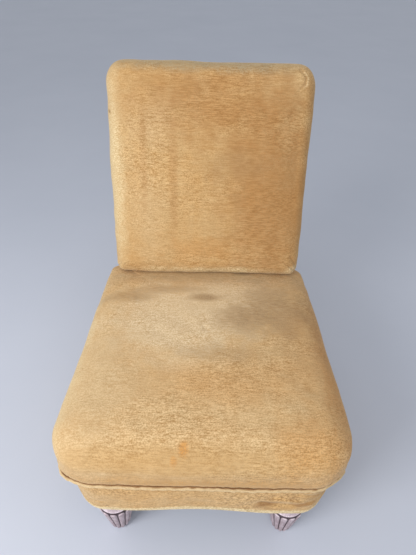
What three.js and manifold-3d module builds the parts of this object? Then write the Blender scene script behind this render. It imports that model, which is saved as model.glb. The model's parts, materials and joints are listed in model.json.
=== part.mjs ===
// A low armless slipper chair: a sprung seat and a raked padded back over a hardwood frame on four short legs.
// Millimetres, +Z up. The chair faces -Y; left and right are as seen by a person who stands in front of it,
// so right is +X. While the chair is built Y runs back from the front lip of the seat, and the last lines
// of the file centre the finished chair over its origin.

import * as THREE from 'three';
import { mergeVertices } from 'three/addons/utils/BufferGeometryUtils.js';
import Module from 'manifold-3d';

// Clearances
const touch = 0.3; // between two pieces that bear on each other
const slotClearance = 0.6; // round a post where it passes through padding

// Seat plan
const seatDepth = 513; // front lip to the face of the back
const seatFrontHalfWidth = 288; // of the straight sides, carried forward to the front lip
const seatSideTaper = 25; // how far each side draws in from there to the rear edge
const seatFrontCorner = 83; // corner radii seen from above
const seatRearCorner = 40;
const seatFrontBow = 6; // how far the middle of the front stands ahead of its ends
const seatTail = 7; // how far the seat runs out behind the foot of the back

// Heights
const legHeight = 150; // floor to the underside of the frame
const railHeight = 85;
const borderHeight = 133; // upholstered band round the frame
const archRise = 19; // of the frame's and the band's lower edge at the middle of the front
const archLegGap = 21; // from each end of the arch out to the middle of a leg
const archFadeStart = 44; // the underside comes level again between these two depths
const archFadeEnd = 134;

// Seat pad
const padOverhang = 9; // how far the pad stands out past the seam
const padLowerHeight = 68; // seam to the pad's widest line
const padUpperHeight = 42; // widest line to the flat of the top
const padFullness = 1.7; // over 1 the pad's side stays full for longer before it turns in to the seam
const padShoulder = 58; // how far in from the edge the rounding runs
const padLeastRise = 13; // of the top over the widest line, where the pad passes under the back
const padCrown = 11;
const padCrownReach = 215; // inset at which the pad stops rising
const coverThickness = 8; // cloth and wadding together
const backSeatGap = 1.5; // between the pad and the underside of the back

// Seam and band
const pipingDiameter = 7.4;
const pipingSideCount = 6;
const borderTopInset = 12; // the pad's widest line to the face of the band, at the seam
const borderFootInset = 18; // and at the floor side
const borderThickness = 8;
const borderRoll = 9; // radius of the band's rolled lower edge
const borderBelly = 2; // how far the middle of the band stands out
const borderMiddleLiftShare = 0.5; // of the front arch that reaches the middle of the band

// Frame
const railThickness = 26;
const frontRailShare = 0.4514; // its half length as a share of the seat's half width
const cornerBlockDepth = 142; // front lip to the rear face of a front corner block
const rearBlockLeg = 60;
const rearBlockHeight = 55;
const woodEasing = 2; // eased edges of the posts

// Front legs
const frontLegShare = 0.663; // middle of the seat to a leg, as a share of the seat's half width
const frontLegY = 57.5;
const frontLegSplayOut = 4.5; // from the top of a leg to its foot
const legTopRadius = 40.5;
const legFootRadius = 23;
const legCollarRadius = 42.5;
const legCollarHeight = 19;
const legGrooveHeight = 3;
const legGrooveDepth = 3.5;
const legFootEase = 2.5;
const reedCount = 14;
const reedDepth = 3.2;
const reedPointCount = 3; // mesh points across one reed
const reedTopHeight = 9; // the length over which a reed runs out under the collar
const footReedShare = 0.6; // of a reed's depth that is left at the foot
const tenonRadius = 12;
const tenonLength = 46;
const tenonClearance = 0.4;
const tenonHoleSteps = 10; // mesh steps round half of the hole
const glideRadius = 10;
const glideHeight = 4;
const glideDome = 1.2;
const glideSideCount = 10;

// Back
const backHeight = 511; // along the slope
const backSideInset = 20; // rear corner of the seat to the side of the back at its foot
const backTopTaper = 3;
const backThickness = 90; // without the outside panel
const backSlopeDegrees = 17;
const backFootDrop = 11; // the foot of the back's face, under the level of the seat's top edge
const backTopCorner = 46;
const backFootCorner = 26; // at the face
const backFootRearCorner = 12;
const backShoulder = 33; // rounding of the face's edges across the face
const backShoulderDepth = 42; // and into the thickness
const backCrown = 11;
const backCrownReach = 150;
const outsidePanelThickness = 4;
const outsidePanelInset = 3;

// Rear posts
const postWidth = 36;
const postUprightDepth = 34; // of the upright, through the back
const postRailDepth = 34; // where the seat rails meet it
const postFootDepth = 25;
const postRake = 46; // how far back the foot stands
const postTopInset = 24; // top of the post to the top of the back, along the slope
const postBandInset = 6; // rear face of the post to the inside of the band

// Back rails
const topRailHeight = 50;
const stayRailHeight = 42;
const stayRailFoot = 48; // foot of the back to the foot of the stay rail

// Webbing
const webWidth = 50;
const webThickness = 2;
const seatWebCount = 4; // strips that run front to back
const seatWebEdgeGap = 3; // an outer strip to the end of the front rail
const seatCrossCount = 4;
const seatFirstCross = 168; // front lip to the middle of the first cross strip
const seatLastCross = 52; // and the last one to the rear posts
const webTurn = 4; // flat length past each crossing
const webTack = 22; // length of strip tacked on a rail
const backWebCount = 3; // strips that run up the back
const backWebPitch = 105;
const backCrossCount = 2;
const backCrossPitch = 150;

// Springs
const springEndShare = 0.362; // radius at both ends, as a share of the pitch across
const springWaistShare = 0.643; // radius at the waist, as a share of the radius at the ends
const springWire = 3.8;
const springTurns = 3.5;
const springStepCount = 7; // mesh steps in one turn
const springSideCount = 4;
const springSideInset = 147; // rear corner of the seat to the middle of an outer column
const springRowCount = 3;
const springFirstRow = 168; // front lip to the middle of the first row
const springLastRow = 111; // and the last one to the rear posts

// Canvas, roll and stuffing
const canvasThickness = 1.5;
const canvasFlatInset = 96;
const canvasFootInset = 50;
const canvasEdgeInset = 29;
const rollInnerInset = 84;
const dustCoverThickness = 1.2;
const dustCoverInset = 30;
const dustCoverLegGap = 2;
const dustCoverHoleSides = 12;
const dustCoverLiftShare = 0.75; // how far the cover follows the front arch

// Sizes that follow
const seatRearHalfWidth = seatFrontHalfWidth - seatSideTaper;
const backHalfWidth = seatRearHalfWidth - backSideInset;
const backTopHalfWidth = backHalfWidth - backTopTaper;
const frontLegX = seatFrontHalfWidth * frontLegShare;
const frontRailHalfLength = seatFrontHalfWidth * frontRailShare;
const archHalfSpan = frontLegX - archLegGap;
const seatWebPitch = (2 * (frontRailHalfLength - seatWebEdgeGap) - webWidth) / (seatWebCount - 1);
const backSlope = THREE.MathUtils.degToRad(backSlopeDegrees);
const seatRear = seatDepth + (backThickness + outsidePanelThickness) * Math.cos(backSlope) + seatTail;
const railTop = legHeight + railHeight;
const frameInset = borderFootInset + borderThickness + touch;
const borderTop = legHeight + borderHeight;
const pipingHeight = borderTop + touch + pipingDiameter / 2;
const padFoot = pipingHeight + pipingDiameter / 2 + touch;
const padWidest = padFoot + padLowerHeight;
const padTop = padWidest + padUpperHeight;
const backFootHeight = padTop - backFootDrop;
const canvasTop = borderTop + touch;
const stuffingFoot = canvasTop + touch;
const webTop = legHeight - touch;
const webDrop = webThickness + touch; // from an upper strip to the strip that it crosses
const dustCoverTop = webTop - webDrop - webThickness - touch;
const upright = { front: backThickness - touch - postUprightDepth, rear: backThickness - touch };
const postRear = seatRear - frameInset - postBandInset;
const postFront = postRear - postRailDepth;
const postOuter = backHalfWidth - coverThickness - 2 * touch;
const postInner = postOuter - postWidth;
const postTop = backHeight - postTopInset;
const seatCrossPitch = (postFront - seatLastCross - seatFirstCross) / (seatCrossCount - 1);
const springPitchX = seatRearHalfWidth - springSideInset;
const springEndRadius = springPitchX * springEndShare;
const springWaistRadius = springEndRadius * springWaistShare;
const springPitchY = (postFront - springLastRow - springFirstRow) / (springRowCount - 1);

// Finishes
const velour = new THREE.MeshStandardMaterial({ color: 0xb98a45, roughness: 0.85, metalness: 0 });
const limedWood = new THREE.MeshStandardMaterial({ color: 0xb5a3a6, roughness: 0.55, metalness: 0 });
const beech = new THREE.MeshStandardMaterial({ color: 0xc49a6c, roughness: 0.6, metalness: 0 });
const jute = new THREE.MeshStandardMaterial({ color: 0xa98a5f, roughness: 0.9, metalness: 0 });
const hessian = new THREE.MeshStandardMaterial({ color: 0xb59b6d, roughness: 0.95, metalness: 0 });
const fibre = new THREE.MeshStandardMaterial({ color: 0x8d7350, roughness: 1, metalness: 0 });
const blackCotton = new THREE.MeshStandardMaterial({ color: 0x1d1c1b, roughness: 0.9, metalness: 0 });
const springSteel = new THREE.MeshStandardMaterial({ color: 0x7d7a74, roughness: 0.4, metalness: 1 });
const nickel = new THREE.MeshStandardMaterial({ color: 0xb8b6b0, roughness: 0.3, metalness: 1 });

const wasm = await Module();
wasm.setup();
const chair = new THREE.Group();

// Adds one named piece. Its geometry is in the chair's own frame.
function addPiece(name, geometry, material) {
  const mesh = new THREE.Mesh(geometry, material);
  mesh.name = name;
  chair.add(mesh);
  return mesh;
}

// Adds a right-hand piece and its mirror image on the left.
function addPair(name, geometry, material) {
  addPiece(`${name}_right`, geometry, material);
  addPiece(`${name}_left`, geometry, material).scale.x = -1;
}

// A closed skin over a stack of rings of equally many points. Each ring runs counter-clockwise seen from the
// side that the stack grows towards. A cap is a fan from its centre point; with no centres the stack is a loop.
// The first rings of a cover are its inside, where each quad is split the other way, so that its facets lie
// parallel to those of what it covers.
function ringSolid(rings, startCentre, endCentre, insideCount = 0) {
  const count = rings[0].length;
  const points = rings.flat();
  const faces = [];
  const joinRings = (a, b) => {
    for (let i = 0; i < count; i += 1) {
      const j = (i + 1) % count;
      const quad = [a * count + i, a * count + j, b * count + j, b * count + i];
      const turned = b < insideCount ? [...quad.slice(1), quad[0]] : quad;
      faces.push(turned[0], turned[1], turned[2]);
      faces.push(turned[0], turned[2], turned[3]);
    }
  };
  for (let k = 1; k < rings.length; k += 1) {
    joinRings(k - 1, k);
  }
  if (startCentre) {
    const last = (rings.length - 1) * count;
    points.push(startCentre, endCentre);
    for (let i = 0; i < count; i += 1) {
      const j = (i + 1) % count;
      faces.push(points.length - 2, j, i);
      faces.push(points.length - 1, last + i, last + j);
    }
  } else {
    joinRings(rings.length - 1, 0);
  }
  return geometryOf(new Float32Array(points.flat()), faces);
}

function geometryOf(positions, faces) {
  const geometry = new THREE.BufferGeometry();
  geometry.setAttribute('position', new THREE.BufferAttribute(positions, 3));
  geometry.setIndex(Array.from(faces));
  geometry.computeVertexNormals();
  return geometry;
}

// The middle of a ring, for a flat cap.
function centreOf(ring) {
  return [0, 1, 2].map((axis) => ring.reduce((sum, point) => sum + point[axis], 0) / ring.length);
}

function cappedSweep(rings) {
  return ringSolid(rings, centreOf(rings[0]), centreOf(rings[rings.length - 1]));
}

// Booleans
function toSolid(geometry) {
  const bare = geometry.clone();
  bare.deleteAttribute('normal');
  bare.deleteAttribute('uv');
  const merged = mergeVertices(bare);
  return new wasm.Manifold(new wasm.Mesh({
    numProp: 3,
    vertProperties: merged.attributes.position.array,
    triVerts: new Uint32Array(merged.index.array),
  }));
}

function cutAway(geometry, cutters) {
  const left = cutters.reduce((solid, cutter) => solid.subtract(toSolid(cutter)), toSolid(geometry));
  const mesh = left.getMesh();
  return geometryOf(new Float32Array(mesh.vertProperties), mesh.triVerts);
}

// The same shape on the left, with its faces turned the right way round again.
function mirrored(geometry) {
  const copy = geometry.clone().scale(-1, 1, 1);
  const bare = copy.index ? copy : mergeVertices(copy);
  const faces = Array.from(bare.index.array);
  for (let i = 0; i < faces.length; i += 3) {
    [faces[i + 1], faces[i + 2]] = [faces[i + 2], faces[i + 1]];
  }
  return geometryOf(bare.attributes.position.array, faces);
}

// A rectangle with round corners as a ring of points, counter-clockwise from the middle of its near edge.
const edgePointCounts = { near: 6, side: 4, far: 4, corner: 5 };
const leastCorner = 3;

function roundedRectangle(halfWidth, near, far, nearRadius, farRadius) {
  const r0 = Math.max(nearRadius, leastCorner);
  const r1 = Math.max(farRadius, leastCorner);
  const right = [];
  const alongTo = (x, y, count) => {
    const [x0, y0] = right[right.length - 1];
    for (let i = 1; i < count; i += 1) {
      right.push([x0 + ((x - x0) * i) / count, y0 + ((y - y0) * i) / count]);
    }
  };
  const corner = (x, y, radius, from) => {
    for (let i = 0; i <= edgePointCounts.corner; i += 1) {
      const angle = from + (Math.PI / 2) * (i / edgePointCounts.corner);
      right.push([x + radius * Math.cos(angle), y + radius * Math.sin(angle)]);
    }
  };
  right.push([0, near]);
  alongTo(halfWidth - r0, near, edgePointCounts.near);
  corner(halfWidth - r0, near + r0, r0, -Math.PI / 2);
  alongTo(halfWidth, far - r1, edgePointCounts.side);
  corner(halfWidth - r1, far - r1, r1, 0);
  alongTo(0, far, edgePointCounts.far);
  const left = right.slice(1).reverse().map(([x, y]) => [-x, y]);
  return [...right, [0, far], ...left];
}

// Seat plan: a rectangle that narrows towards the back and whose front edge bows forward.
const narrowingShare = 1 - seatRearHalfWidth / seatFrontHalfWidth;

function seatPlan(x, y) {
  const across = x / seatFrontHalfWidth;
  const ahead = 1 - y / seatRear;
  return [x * (1 - (narrowingShare * y) / seatRear), y + seatFrontBow * across * across * ahead * ahead];
}

function seatOutline(inset) {
  const ring = roundedRectangle(
    seatFrontHalfWidth - inset,
    inset,
    seatRear - inset,
    seatFrontCorner - inset,
    seatRearCorner - inset,
  );
  return ring.map(([x, y]) => seatPlan(x, y));
}

// How far the underside of the frame lies above its level at a place: the arch at the front.
function undersideLift(x, y) {
  const across = Math.min(Math.abs(x) / archHalfSpan, 1);
  const arch = (archRise * (1 + Math.cos(Math.PI * across))) / 2;
  return arch * (1 - THREE.MathUtils.smoothstep(y, archFadeStart, archFadeEnd));
}

// Back frame: x across, v up the slope from the foot, w into the back from its face.
function backPoint(x, v, w) {
  const spread = 1 + ((backTopHalfWidth / backHalfWidth - 1) * v) / backHeight;
  return [
    x * spread,
    seatDepth + v * Math.sin(backSlope) + w * Math.cos(backSlope),
    backFootHeight + v * Math.cos(backSlope) - w * Math.sin(backSlope),
  ];
}

function backRing(inset, w) {
  const toRear = THREE.MathUtils.clamp(w / backShoulderDepth, 0, 1);
  const footCorner = THREE.MathUtils.lerp(backFootCorner, backFootRearCorner, toRear);
  const ring = roundedRectangle(
    backHalfWidth - inset,
    inset,
    backHeight - inset,
    footCorner - inset,
    backTopCorner - inset,
  );
  return ring.map(([x, v]) => backPoint(x, v, w));
}

// The top of the seat pad, which dips at the back to pass under the back's foot.
function padTopAt(x, y) {
  const across = x / seatFrontHalfWidth;
  const along = (y - seatDepth / 2) / seatRear;
  const crowned = padTop + padCrown * Math.max(0, 1 - across * across) * (1 - 4 * along * along);
  const underBack = backFootHeight - backSeatGap - (y - seatDepth) * Math.tan(backSlope);
  return Math.min(crowned, underBack);
}

function padWidestAt(x, y) {
  return Math.min(padWidest, padTopAt(x, y) - padLeastRise);
}

// Rings of the pad, each one skin deep under the outside. A quarter turn of the angle takes the upper rings
// from the widest line to the flat of the top, and the lower rings down to the seam.
const quarter = Math.PI / 2;
const crownShares = [0.2, 0.5, 1];

function padUpperRing(angle, skin) {
  const inset = padShoulder * (1 - Math.cos(angle)) + skin * Math.cos(angle);
  return seatOutline(inset).map(([x, y]) => {
    const widest = padWidestAt(x, y);
    return [x, y, widest + (padTopAt(x, y) - skin - widest) * Math.sin(angle)];
  });
}

function padLowerRing(angle, skin, foot) {
  const inset = padOverhang * (1 - Math.cos(angle)) ** padFullness + skin;
  return seatOutline(inset).map(([x, y]) => {
    const widest = padWidestAt(x, y);
    return [x, y, widest - (widest - foot) * Math.sin(angle)];
  });
}

function padCrownRing(share, skin) {
  const inset = padShoulder + (padCrownReach - padShoulder) * share;
  return seatOutline(inset).map(([x, y]) => [x, y, padTopAt(x, y) - skin]);
}

// The outside of the pad from the seam up to the middle of its top.
const padOutsideSteps = { lower: 3, upper: 5 };
const padInsideSteps = { lower: 2, upper: 4 };

function padSkin(skin, steps) {
  const rings = [];
  for (let i = steps.lower; i > 0; i -= 1) {
    rings.push(padLowerRing((quarter * i) / steps.lower, skin, padFoot));
  }
  for (let i = 0; i <= steps.upper; i += 1) {
    rings.push(padUpperRing((quarter * i) / steps.upper, skin));
  }
  crownShares.forEach((share) => rings.push(padCrownRing(share, skin)));
  return rings;
}

const padMiddle = seatRear / 2;

function padPeak(skin) {
  return [0, padMiddle, padTopAt(0, padMiddle) - skin];
}

// A band that follows the seat's outline. The section lists inset and height, counter-clockwise when the
// inset runs to the right, and each height is lifted by the front arch in the share that comes third.
function outlineRings(section) {
  const rows = section.map(([inset, height, liftShare = 0]) =>
    seatOutline(inset).map(([x, y]) => [x, y, height + liftShare * undersideLift(x, y)]));
  return rows[0].map((_, k) => rows.map((row) => row[k]));
}

// A round section at a centre inset and height.
function roundSection(inset, height, radius, sides) {
  return Array.from({ length: sides }, (_, i) => {
    const angle = (2 * Math.PI * i) / sides;
    return [inset + radius * Math.cos(angle), height + radius * Math.sin(angle)];
  });
}

// Front legs: turned and reeded, one piece with the tenon that enters the corner block.
const legTop = legHeight - touch;
const collarFoot = legTop - legCollarHeight;
const [legX, legY] = seatPlan(frontLegX, frontLegY);

function legAxisAt(height) {
  const share = THREE.MathUtils.clamp(1 - height / legTop, 0, 1);
  return [legX + frontLegSplayOut * share, legY];
}

function legRing(height, radius, depth) {
  const [cx, cy] = legAxisAt(height);
  const count = reedCount * reedPointCount;
  return Array.from({ length: count }, (_, i) => {
    const angle = (2 * Math.PI * i) / count;
    const r = radius - depth * (1 - Math.abs(Math.sin((reedCount * angle) / 2)));
    return [cx + r * Math.cos(angle), cy + r * Math.sin(angle), height];
  });
}

function frontLeg() {
  const reedTop = collarFoot - legGrooveHeight;
  const reedFoot = glideHeight + touch;
  const radiusAt = (height) => THREE.MathUtils.mapLinear(height, reedFoot, reedTop, legFootRadius, legTopRadius);
  const reed = (height, share) => legRing(height, radiusAt(height), reedDepth * share);
  const middle = (reedFoot + reedTop) / 2;
  const runOut = reedTop - reedTopHeight;
  const grooveRadius = legTopRadius - legGrooveDepth;
  const tenonTop = legTop + tenonLength;
  const rings = [
    legRing(reedFoot, legFootRadius - legFootEase, reedDepth * footReedShare),
    reed(reedFoot + legFootEase, footReedShare),
    reed(middle, 1),
    reed(runOut, 1),
    reed(reedTop, 0),
    legRing(reedTop, grooveRadius, 0),
    legRing(collarFoot, grooveRadius, 0),
    legRing(collarFoot + legGrooveDepth / 2, legCollarRadius, 0),
    legRing(legTop - legGrooveDepth, legCollarRadius, 0),
    legRing(legTop, legTopRadius, 0),
    legRing(legTop, tenonRadius, 0),
    legRing(tenonTop, tenonRadius, 0),
  ];
  return ringSolid(rings, [...legAxisAt(reedFoot), reedFoot], [...legAxisAt(tenonTop), tenonTop]);
}

// A domed floor glide under a foot, on the floor.
function glide(x, y) {
  const ring = (height, radius) => Array.from({ length: glideSideCount }, (_, i) => {
    const angle = (2 * Math.PI * i) / glideSideCount;
    return [x + radius * Math.cos(angle), y + radius * Math.sin(angle), height];
  });
  const rings = [
    ring(0, glideRadius - glideDome),
    ring(glideDome, glideRadius),
    ring(glideHeight, glideRadius),
  ];
  return ringSolid(rings, [x, y, 0], [x, y, glideHeight]);
}

// Rear posts: leg and upright sawn from one plank. The profile is drawn in depth and height.
function slopeY(v, w) {
  return backPoint(0, v, w)[1];
}

function slopeZ(v, w) {
  return backPoint(0, v, w)[2];
}

// The place up the slope at which a plane of the upright reaches a given depth.
function slopeAtDepth(depth, w) {
  return (depth - seatDepth - w * Math.cos(backSlope)) / Math.sin(backSlope);
}

const postBendRear = slopeAtDepth(postRear, upright.rear);
const postBendFront = slopeAtDepth(postFront, upright.front);
const postFootFront = postFront + postRake;

function postProfile(grow) {
  const footHeight = glideHeight + touch;
  return [
    [postFootFront - grow, footHeight],
    [postFootFront + postFootDepth + grow, footHeight],
    [postRear + grow, legHeight],
    [postRear + grow, slopeZ(postBendRear, upright.rear)],
    [slopeY(postTop + grow, upright.rear + grow), slopeZ(postTop + grow, upright.rear + grow)],
    [slopeY(postTop + grow, upright.front - grow), slopeZ(postTop + grow, upright.front - grow)],
    [postFront - grow, slopeZ(postBendFront, upright.front)],
    [postFront - grow, legHeight],
  ];
}

// An outline in depth and height, made solid from one width to another.
function plank(profile, from, to, easing) {
  const shape = new THREE.Shape(profile.map(([y, z]) => new THREE.Vector2(y, z)));
  const geometry = new THREE.ExtrudeGeometry(shape, {
    depth: to - from - 2 * easing,
    bevelEnabled: easing > 0,
    bevelThickness: easing,
    bevelSize: easing,
    bevelOffset: -easing,
    bevelSegments: 1,
  });
  const sideways = new THREE.Matrix4().makeBasis(
    new THREE.Vector3(0, 1, 0),
    new THREE.Vector3(0, 0, 1),
    new THREE.Vector3(1, 0, 0),
  );
  return geometry.applyMatrix4(sideways).translate(from + easing, 0, 0);
}

function rearPost() {
  return plank(postProfile(0), postInner, postOuter, woodEasing);
}

// What padding loses where the posts pass through it.
function postSlots() {
  const slot = plank(postProfile(slotClearance), postInner - slotClearance, postOuter + slotClearance, 0);
  return [slot, mirrored(slot)];
}

// Seat rails
const railStationCount = 12;

function frontRail() {
  const rings = [];
  for (let i = 0; i <= railStationCount; i += 1) {
    const x = THREE.MathUtils.lerp(-frontRailHalfLength, frontRailHalfLength, i / railStationCount);
    const outer = seatPlan(x, frameInset);
    const inner = seatPlan(x, frameInset + railThickness);
    const foot = legHeight + undersideLift(x, 0);
    rings.push([[...outer, foot], [...inner, foot], [...inner, railTop], [...outer, railTop]]);
  }
  return cappedSweep(rings);
}

function sideRail() {
  const outer = seatFrontHalfWidth - frameInset;
  const inner = outer - railThickness;
  const rings = [cornerBlockDepth + touch, postFront - touch].map((y) => {
    const a = seatPlan(outer, y);
    const b = seatPlan(inner, y);
    return [[...a, legHeight], [...b, legHeight], [...b, railTop], [...a, railTop]];
  });
  return cappedSweep(rings);
}

function rearRail() {
  const half = postInner - touch;
  const front = postRear - railThickness;
  const box = new THREE.BoxGeometry(2 * half, railThickness, railHeight);
  return box.translate(0, front + railThickness / 2, legHeight + railHeight / 2);
}

// A front corner block: solid wood that joins two rails and holds the leg's tenon.
function frontCornerBlock() {
  const outer = seatFrontHalfWidth - frameInset;
  const radius = seatFrontCorner - frameInset;
  const start = frontRailHalfLength + touch;
  const plan = [[start, frameInset]];
  for (let i = 0; i <= edgePointCounts.corner; i += 1) {
    const angle = (i / edgePointCounts.corner) * quarter - quarter;
    plan.push([outer - radius + radius * Math.cos(angle), frameInset + radius + radius * Math.sin(angle)]);
  }
  plan.push([outer, cornerBlockDepth], [outer - railThickness, cornerBlockDepth]);
  plan.push([start, frameInset + railThickness]);
  const shape = new THREE.Shape(plan.map(([x, y]) => new THREE.Vector2(...seatPlan(x, y))));
  const hole = new THREE.Path();
  hole.absarc(legX, legY, tenonRadius + tenonClearance, 0, 2 * Math.PI, true);
  shape.holes.push(hole);
  const geometry = new THREE.ExtrudeGeometry(shape, {
    depth: railHeight,
    bevelEnabled: false,
    curveSegments: tenonHoleSteps,
  });
  return geometry.translate(0, 0, legHeight);
}

// A three-cornered glue block between a side rail and a rear post.
function rearCornerBlock() {
  const depth = postFront - touch;
  const [railX] = seatPlan(seatFrontHalfWidth - frameInset - railThickness, depth);
  const corner = railX - 2 * touch;
  const shape = new THREE.Shape([
    new THREE.Vector2(corner, depth),
    new THREE.Vector2(corner - rearBlockLeg, depth),
    new THREE.Vector2(corner, depth - rearBlockLeg),
  ]);
  const geometry = new THREE.ExtrudeGeometry(shape, { depth: rearBlockHeight, bevelEnabled: false });
  return geometry.translate(0, 0, legHeight + (railHeight - rearBlockHeight) / 2);
}

// A rail between the two uprights of the back, from one place up the slope to another.
function backRail(foot, height) {
  const half = postInner - touch;
  const ring = (x) => [
    backPoint(x, foot, upright.rear),
    backPoint(x, foot, upright.front),
    backPoint(x, foot + height, upright.front),
    backPoint(x, foot + height, upright.rear),
  ].map(([, y, z]) => [x, y, z]);
  return cappedSweep([ring(half), ring(-half)]);
}

// Webbing. A strip runs along stations that give its distance along and its drop; the frame that it lies in
// turns those into a place. Three points across let it follow a curved rail.
function webStrip(stations, toPlace) {
  const half = webWidth / 2;
  const rings = stations.map(([along, drop]) => [
    toPlace(along, half, drop + webThickness),
    toPlace(along, 0, drop + webThickness),
    toPlace(along, -half, drop + webThickness),
    toPlace(along, -half, drop),
    toPlace(along, 0, drop),
    toPlace(along, half, drop),
  ]);
  return cappedSweep(rings);
}

// The stations of a woven strip: level at both ends, and under every second strip that it crosses.
function wovenStations(from, to, crossings, firstUnder) {
  const flat = webWidth / 2 + webTurn;
  const stations = [[from, 0], [from + Math.sign(to - from) * webTack, 0]];
  crossings.forEach((at, i) => {
    const drop = (i + firstUnder) % 2 === 0 ? webDrop : 0;
    const step = Math.sign(to - from) * flat;
    stations.push([at - step, drop], [at + step, drop]);
  });
  stations.push([to, 0]);
  return stations;
}

// Places at one pitch, on both sides of the middle.
function spacedPlaces(count, pitch) {
  return Array.from({ length: count }, (_, i) => (i - (count - 1) / 2) * pitch);
}

const seatWebPlaces = spacedPlaces(seatWebCount, seatWebPitch);
const seatCrossPlaces = Array.from({ length: seatCrossCount }, (_, i) => seatFirstCross + i * seatCrossPitch);

function addSeatWebbing() {
  const front = frameInset + 3 * touch;
  const rear = postRear - touch;
  const crossings = seatCrossPlaces;
  seatWebPlaces.forEach((x, i) => {
    const toPlace = (along, across, drop) => {
      const [px, py] = seatPlan(x + across, along);
      return [px, py, webTop - drop + undersideLift(px, py)];
    };
    const strip = webStrip(wovenStations(front, rear, crossings, i), toPlace);
    addPiece(`seat_webbing_lengthwise_${i + 1}`, strip, jute);
  });
  seatCrossPlaces.forEach((y, i) => {
    const [reach] = seatPlan(seatFrontHalfWidth - frameInset - 3 * touch, y);
    const spread = 1 - (narrowingShare * y) / seatRear;
    const places = seatWebPlaces.map((x) => x * spread);
    const toPlace = (along, across, drop) => [along, y - across, webTop - drop];
    const strip = webStrip(wovenStations(-reach, reach, places, i + 1), toPlace);
    addPiece(`seat_webbing_crosswise_${i + 1}`, strip, jute);
  });
}

function addBackWebbing() {
  const rows = spacedPlaces(backCrossCount, backCrossPitch).map((v) => v + backHeight / 2);
  const columns = spacedPlaces(backWebCount, backWebPitch);
  const face = upright.front - touch;
  columns.forEach((x, i) => {
    const toPlace = (along, across, drop) => backPoint(x - across, along, face - drop);
    const stations = wovenStations(stayRailFoot, postTop - 2 * touch, rows, i);
    addPiece(`back_webbing_upright_${i + 1}`, webStrip(stations, toPlace), jute);
  });
  rows.forEach((v, i) => {
    const toPlace = (along, across, drop) => backPoint(along, v + across, face - drop);
    const stations = wovenStations(-postOuter, postOuter, columns, i + 1);
    addPiece(`back_webbing_crosswise_${i + 1}`, webStrip(stations, toPlace), jute);
  });
}

// A waisted coil spring that stands on the webbing under the canvas.
function coilSpring(x, y) {
  const wireRadius = springWire / 2;
  const foot = webTop + wireRadius + touch;
  const top = canvasTop - canvasThickness - wireRadius - touch;
  const stepCount = Math.round(springTurns * springStepCount);
  const at = (share) => {
    const angle = 2 * Math.PI * springTurns * share;
    const fromWaist = 2 * share - 1;
    const radius = THREE.MathUtils.lerp(springWaistRadius, springEndRadius, fromWaist * fromWaist);
    return new THREE.Vector3(
      x + radius * Math.cos(angle),
      y + radius * Math.sin(angle),
      THREE.MathUtils.lerp(foot, top, share),
    );
  };
  const rings = [];
  for (let k = 0; k <= stepCount; k += 1) {
    const centre = at(k / stepCount);
    const tangent = at((k + 0.5) / stepCount).sub(at((k - 0.5) / stepCount)).normalize();
    const outward = new THREE.Vector3(centre.x - x, centre.y - y, 0).normalize();
    const across = tangent.clone().cross(outward).normalize();
    const square = across.clone().cross(tangent).normalize();
    const ring = [];
    for (let i = 0; i < springSideCount; i += 1) {
      const angle = (2 * Math.PI * (i + 0.5)) / springSideCount;
      const point = centre.clone();
      point.addScaledVector(square, wireRadius * Math.cos(angle));
      point.addScaledVector(across, wireRadius * Math.sin(angle));
      ring.push(point.toArray());
    }
    rings.push(ring);
  }
  return cappedSweep(rings);
}

function addSprings() {
  const rowNames = ['front', 'middle', 'rear'];
  const columnNames = ['left', 'centre', 'right'];
  rowNames.forEach((row, j) => {
    columnNames.forEach((column, i) => {
      const x = (i - 1) * springPitchX;
      const y = springFirstRow + j * springPitchY;
      addPiece(`seat_spring_${row}_${column}`, coilSpring(x, y), springSteel);
    });
  });
}

// The canvas over the springs, drawn down to the rails all round.
function springCanvas(slots) {
  const low = railTop + touch;
  const profile = [[canvasFlatInset, canvasTop], [canvasFootInset, low + canvasThickness],
    [canvasEdgeInset, low + canvasThickness]];
  const ringAt = (inset, height) => seatOutline(inset).map(([x, y]) => [x, y, height]);
  const under = profile.map(([inset, height]) => ringAt(inset, height - canvasThickness));
  const over = profile.map(([inset, height]) => ringAt(inset, height)).reverse();
  const middle = [0, padMiddle];
  const geometry = ringSolid(
    [...under, ...over],
    [...middle, canvasTop - canvasThickness],
    [...middle, canvasTop],
  );
  return cutAway(geometry, slots);
}

// The stuffed roll on the front and side rails, which holds the edge of the seat out square.
function edgeRoll() {
  const foot = railTop + 2 * touch + canvasThickness;
  const top = canvasTop - touch;
  const section = [
    [frameInset + touch, foot],
    [canvasFootInset - 2 * touch, foot],
    [rollInnerInset, top - canvasThickness],
    [(rollInnerInset + canvasFootInset) / 2, top],
    [frameInset, top],
    [borderTopInset + borderThickness + touch, borderTop - borderRoll / 2],
  ];
  const rings = outlineRings(section);
  const clear = rings.filter((ring) => Math.max(...ring.map((point) => point[1])) < postFront - slotClearance);
  const middle = Math.ceil(clear.length / 2);
  return cappedSweep([...clear.slice(middle), ...clear.slice(0, middle)]);
}

function seatStuffing(slots) {
  const skin = coverThickness + touch;
  const foot = padLowerRing(quarter, skin, stuffingFoot);
  const rings = [foot, ...padSkin(skin, padInsideSteps)];
  return cutAway(ringSolid(rings, [0, padMiddle, stuffingFoot], padPeak(skin)), slots);
}

function seatCover(slots) {
  const outside = padSkin(0, padOutsideSteps);
  const inside = padSkin(coverThickness, padInsideSteps).reverse();
  const skin = ringSolid([...inside, ...outside], padPeak(coverThickness), padPeak(0), inside.length);
  return cutAway(skin, slots);
}

function seatPiping() {
  const section = roundSection(padOverhang, pipingHeight, pipingDiameter / 2, pipingSideCount);
  return ringSolid(outlineRings(section));
}

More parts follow.
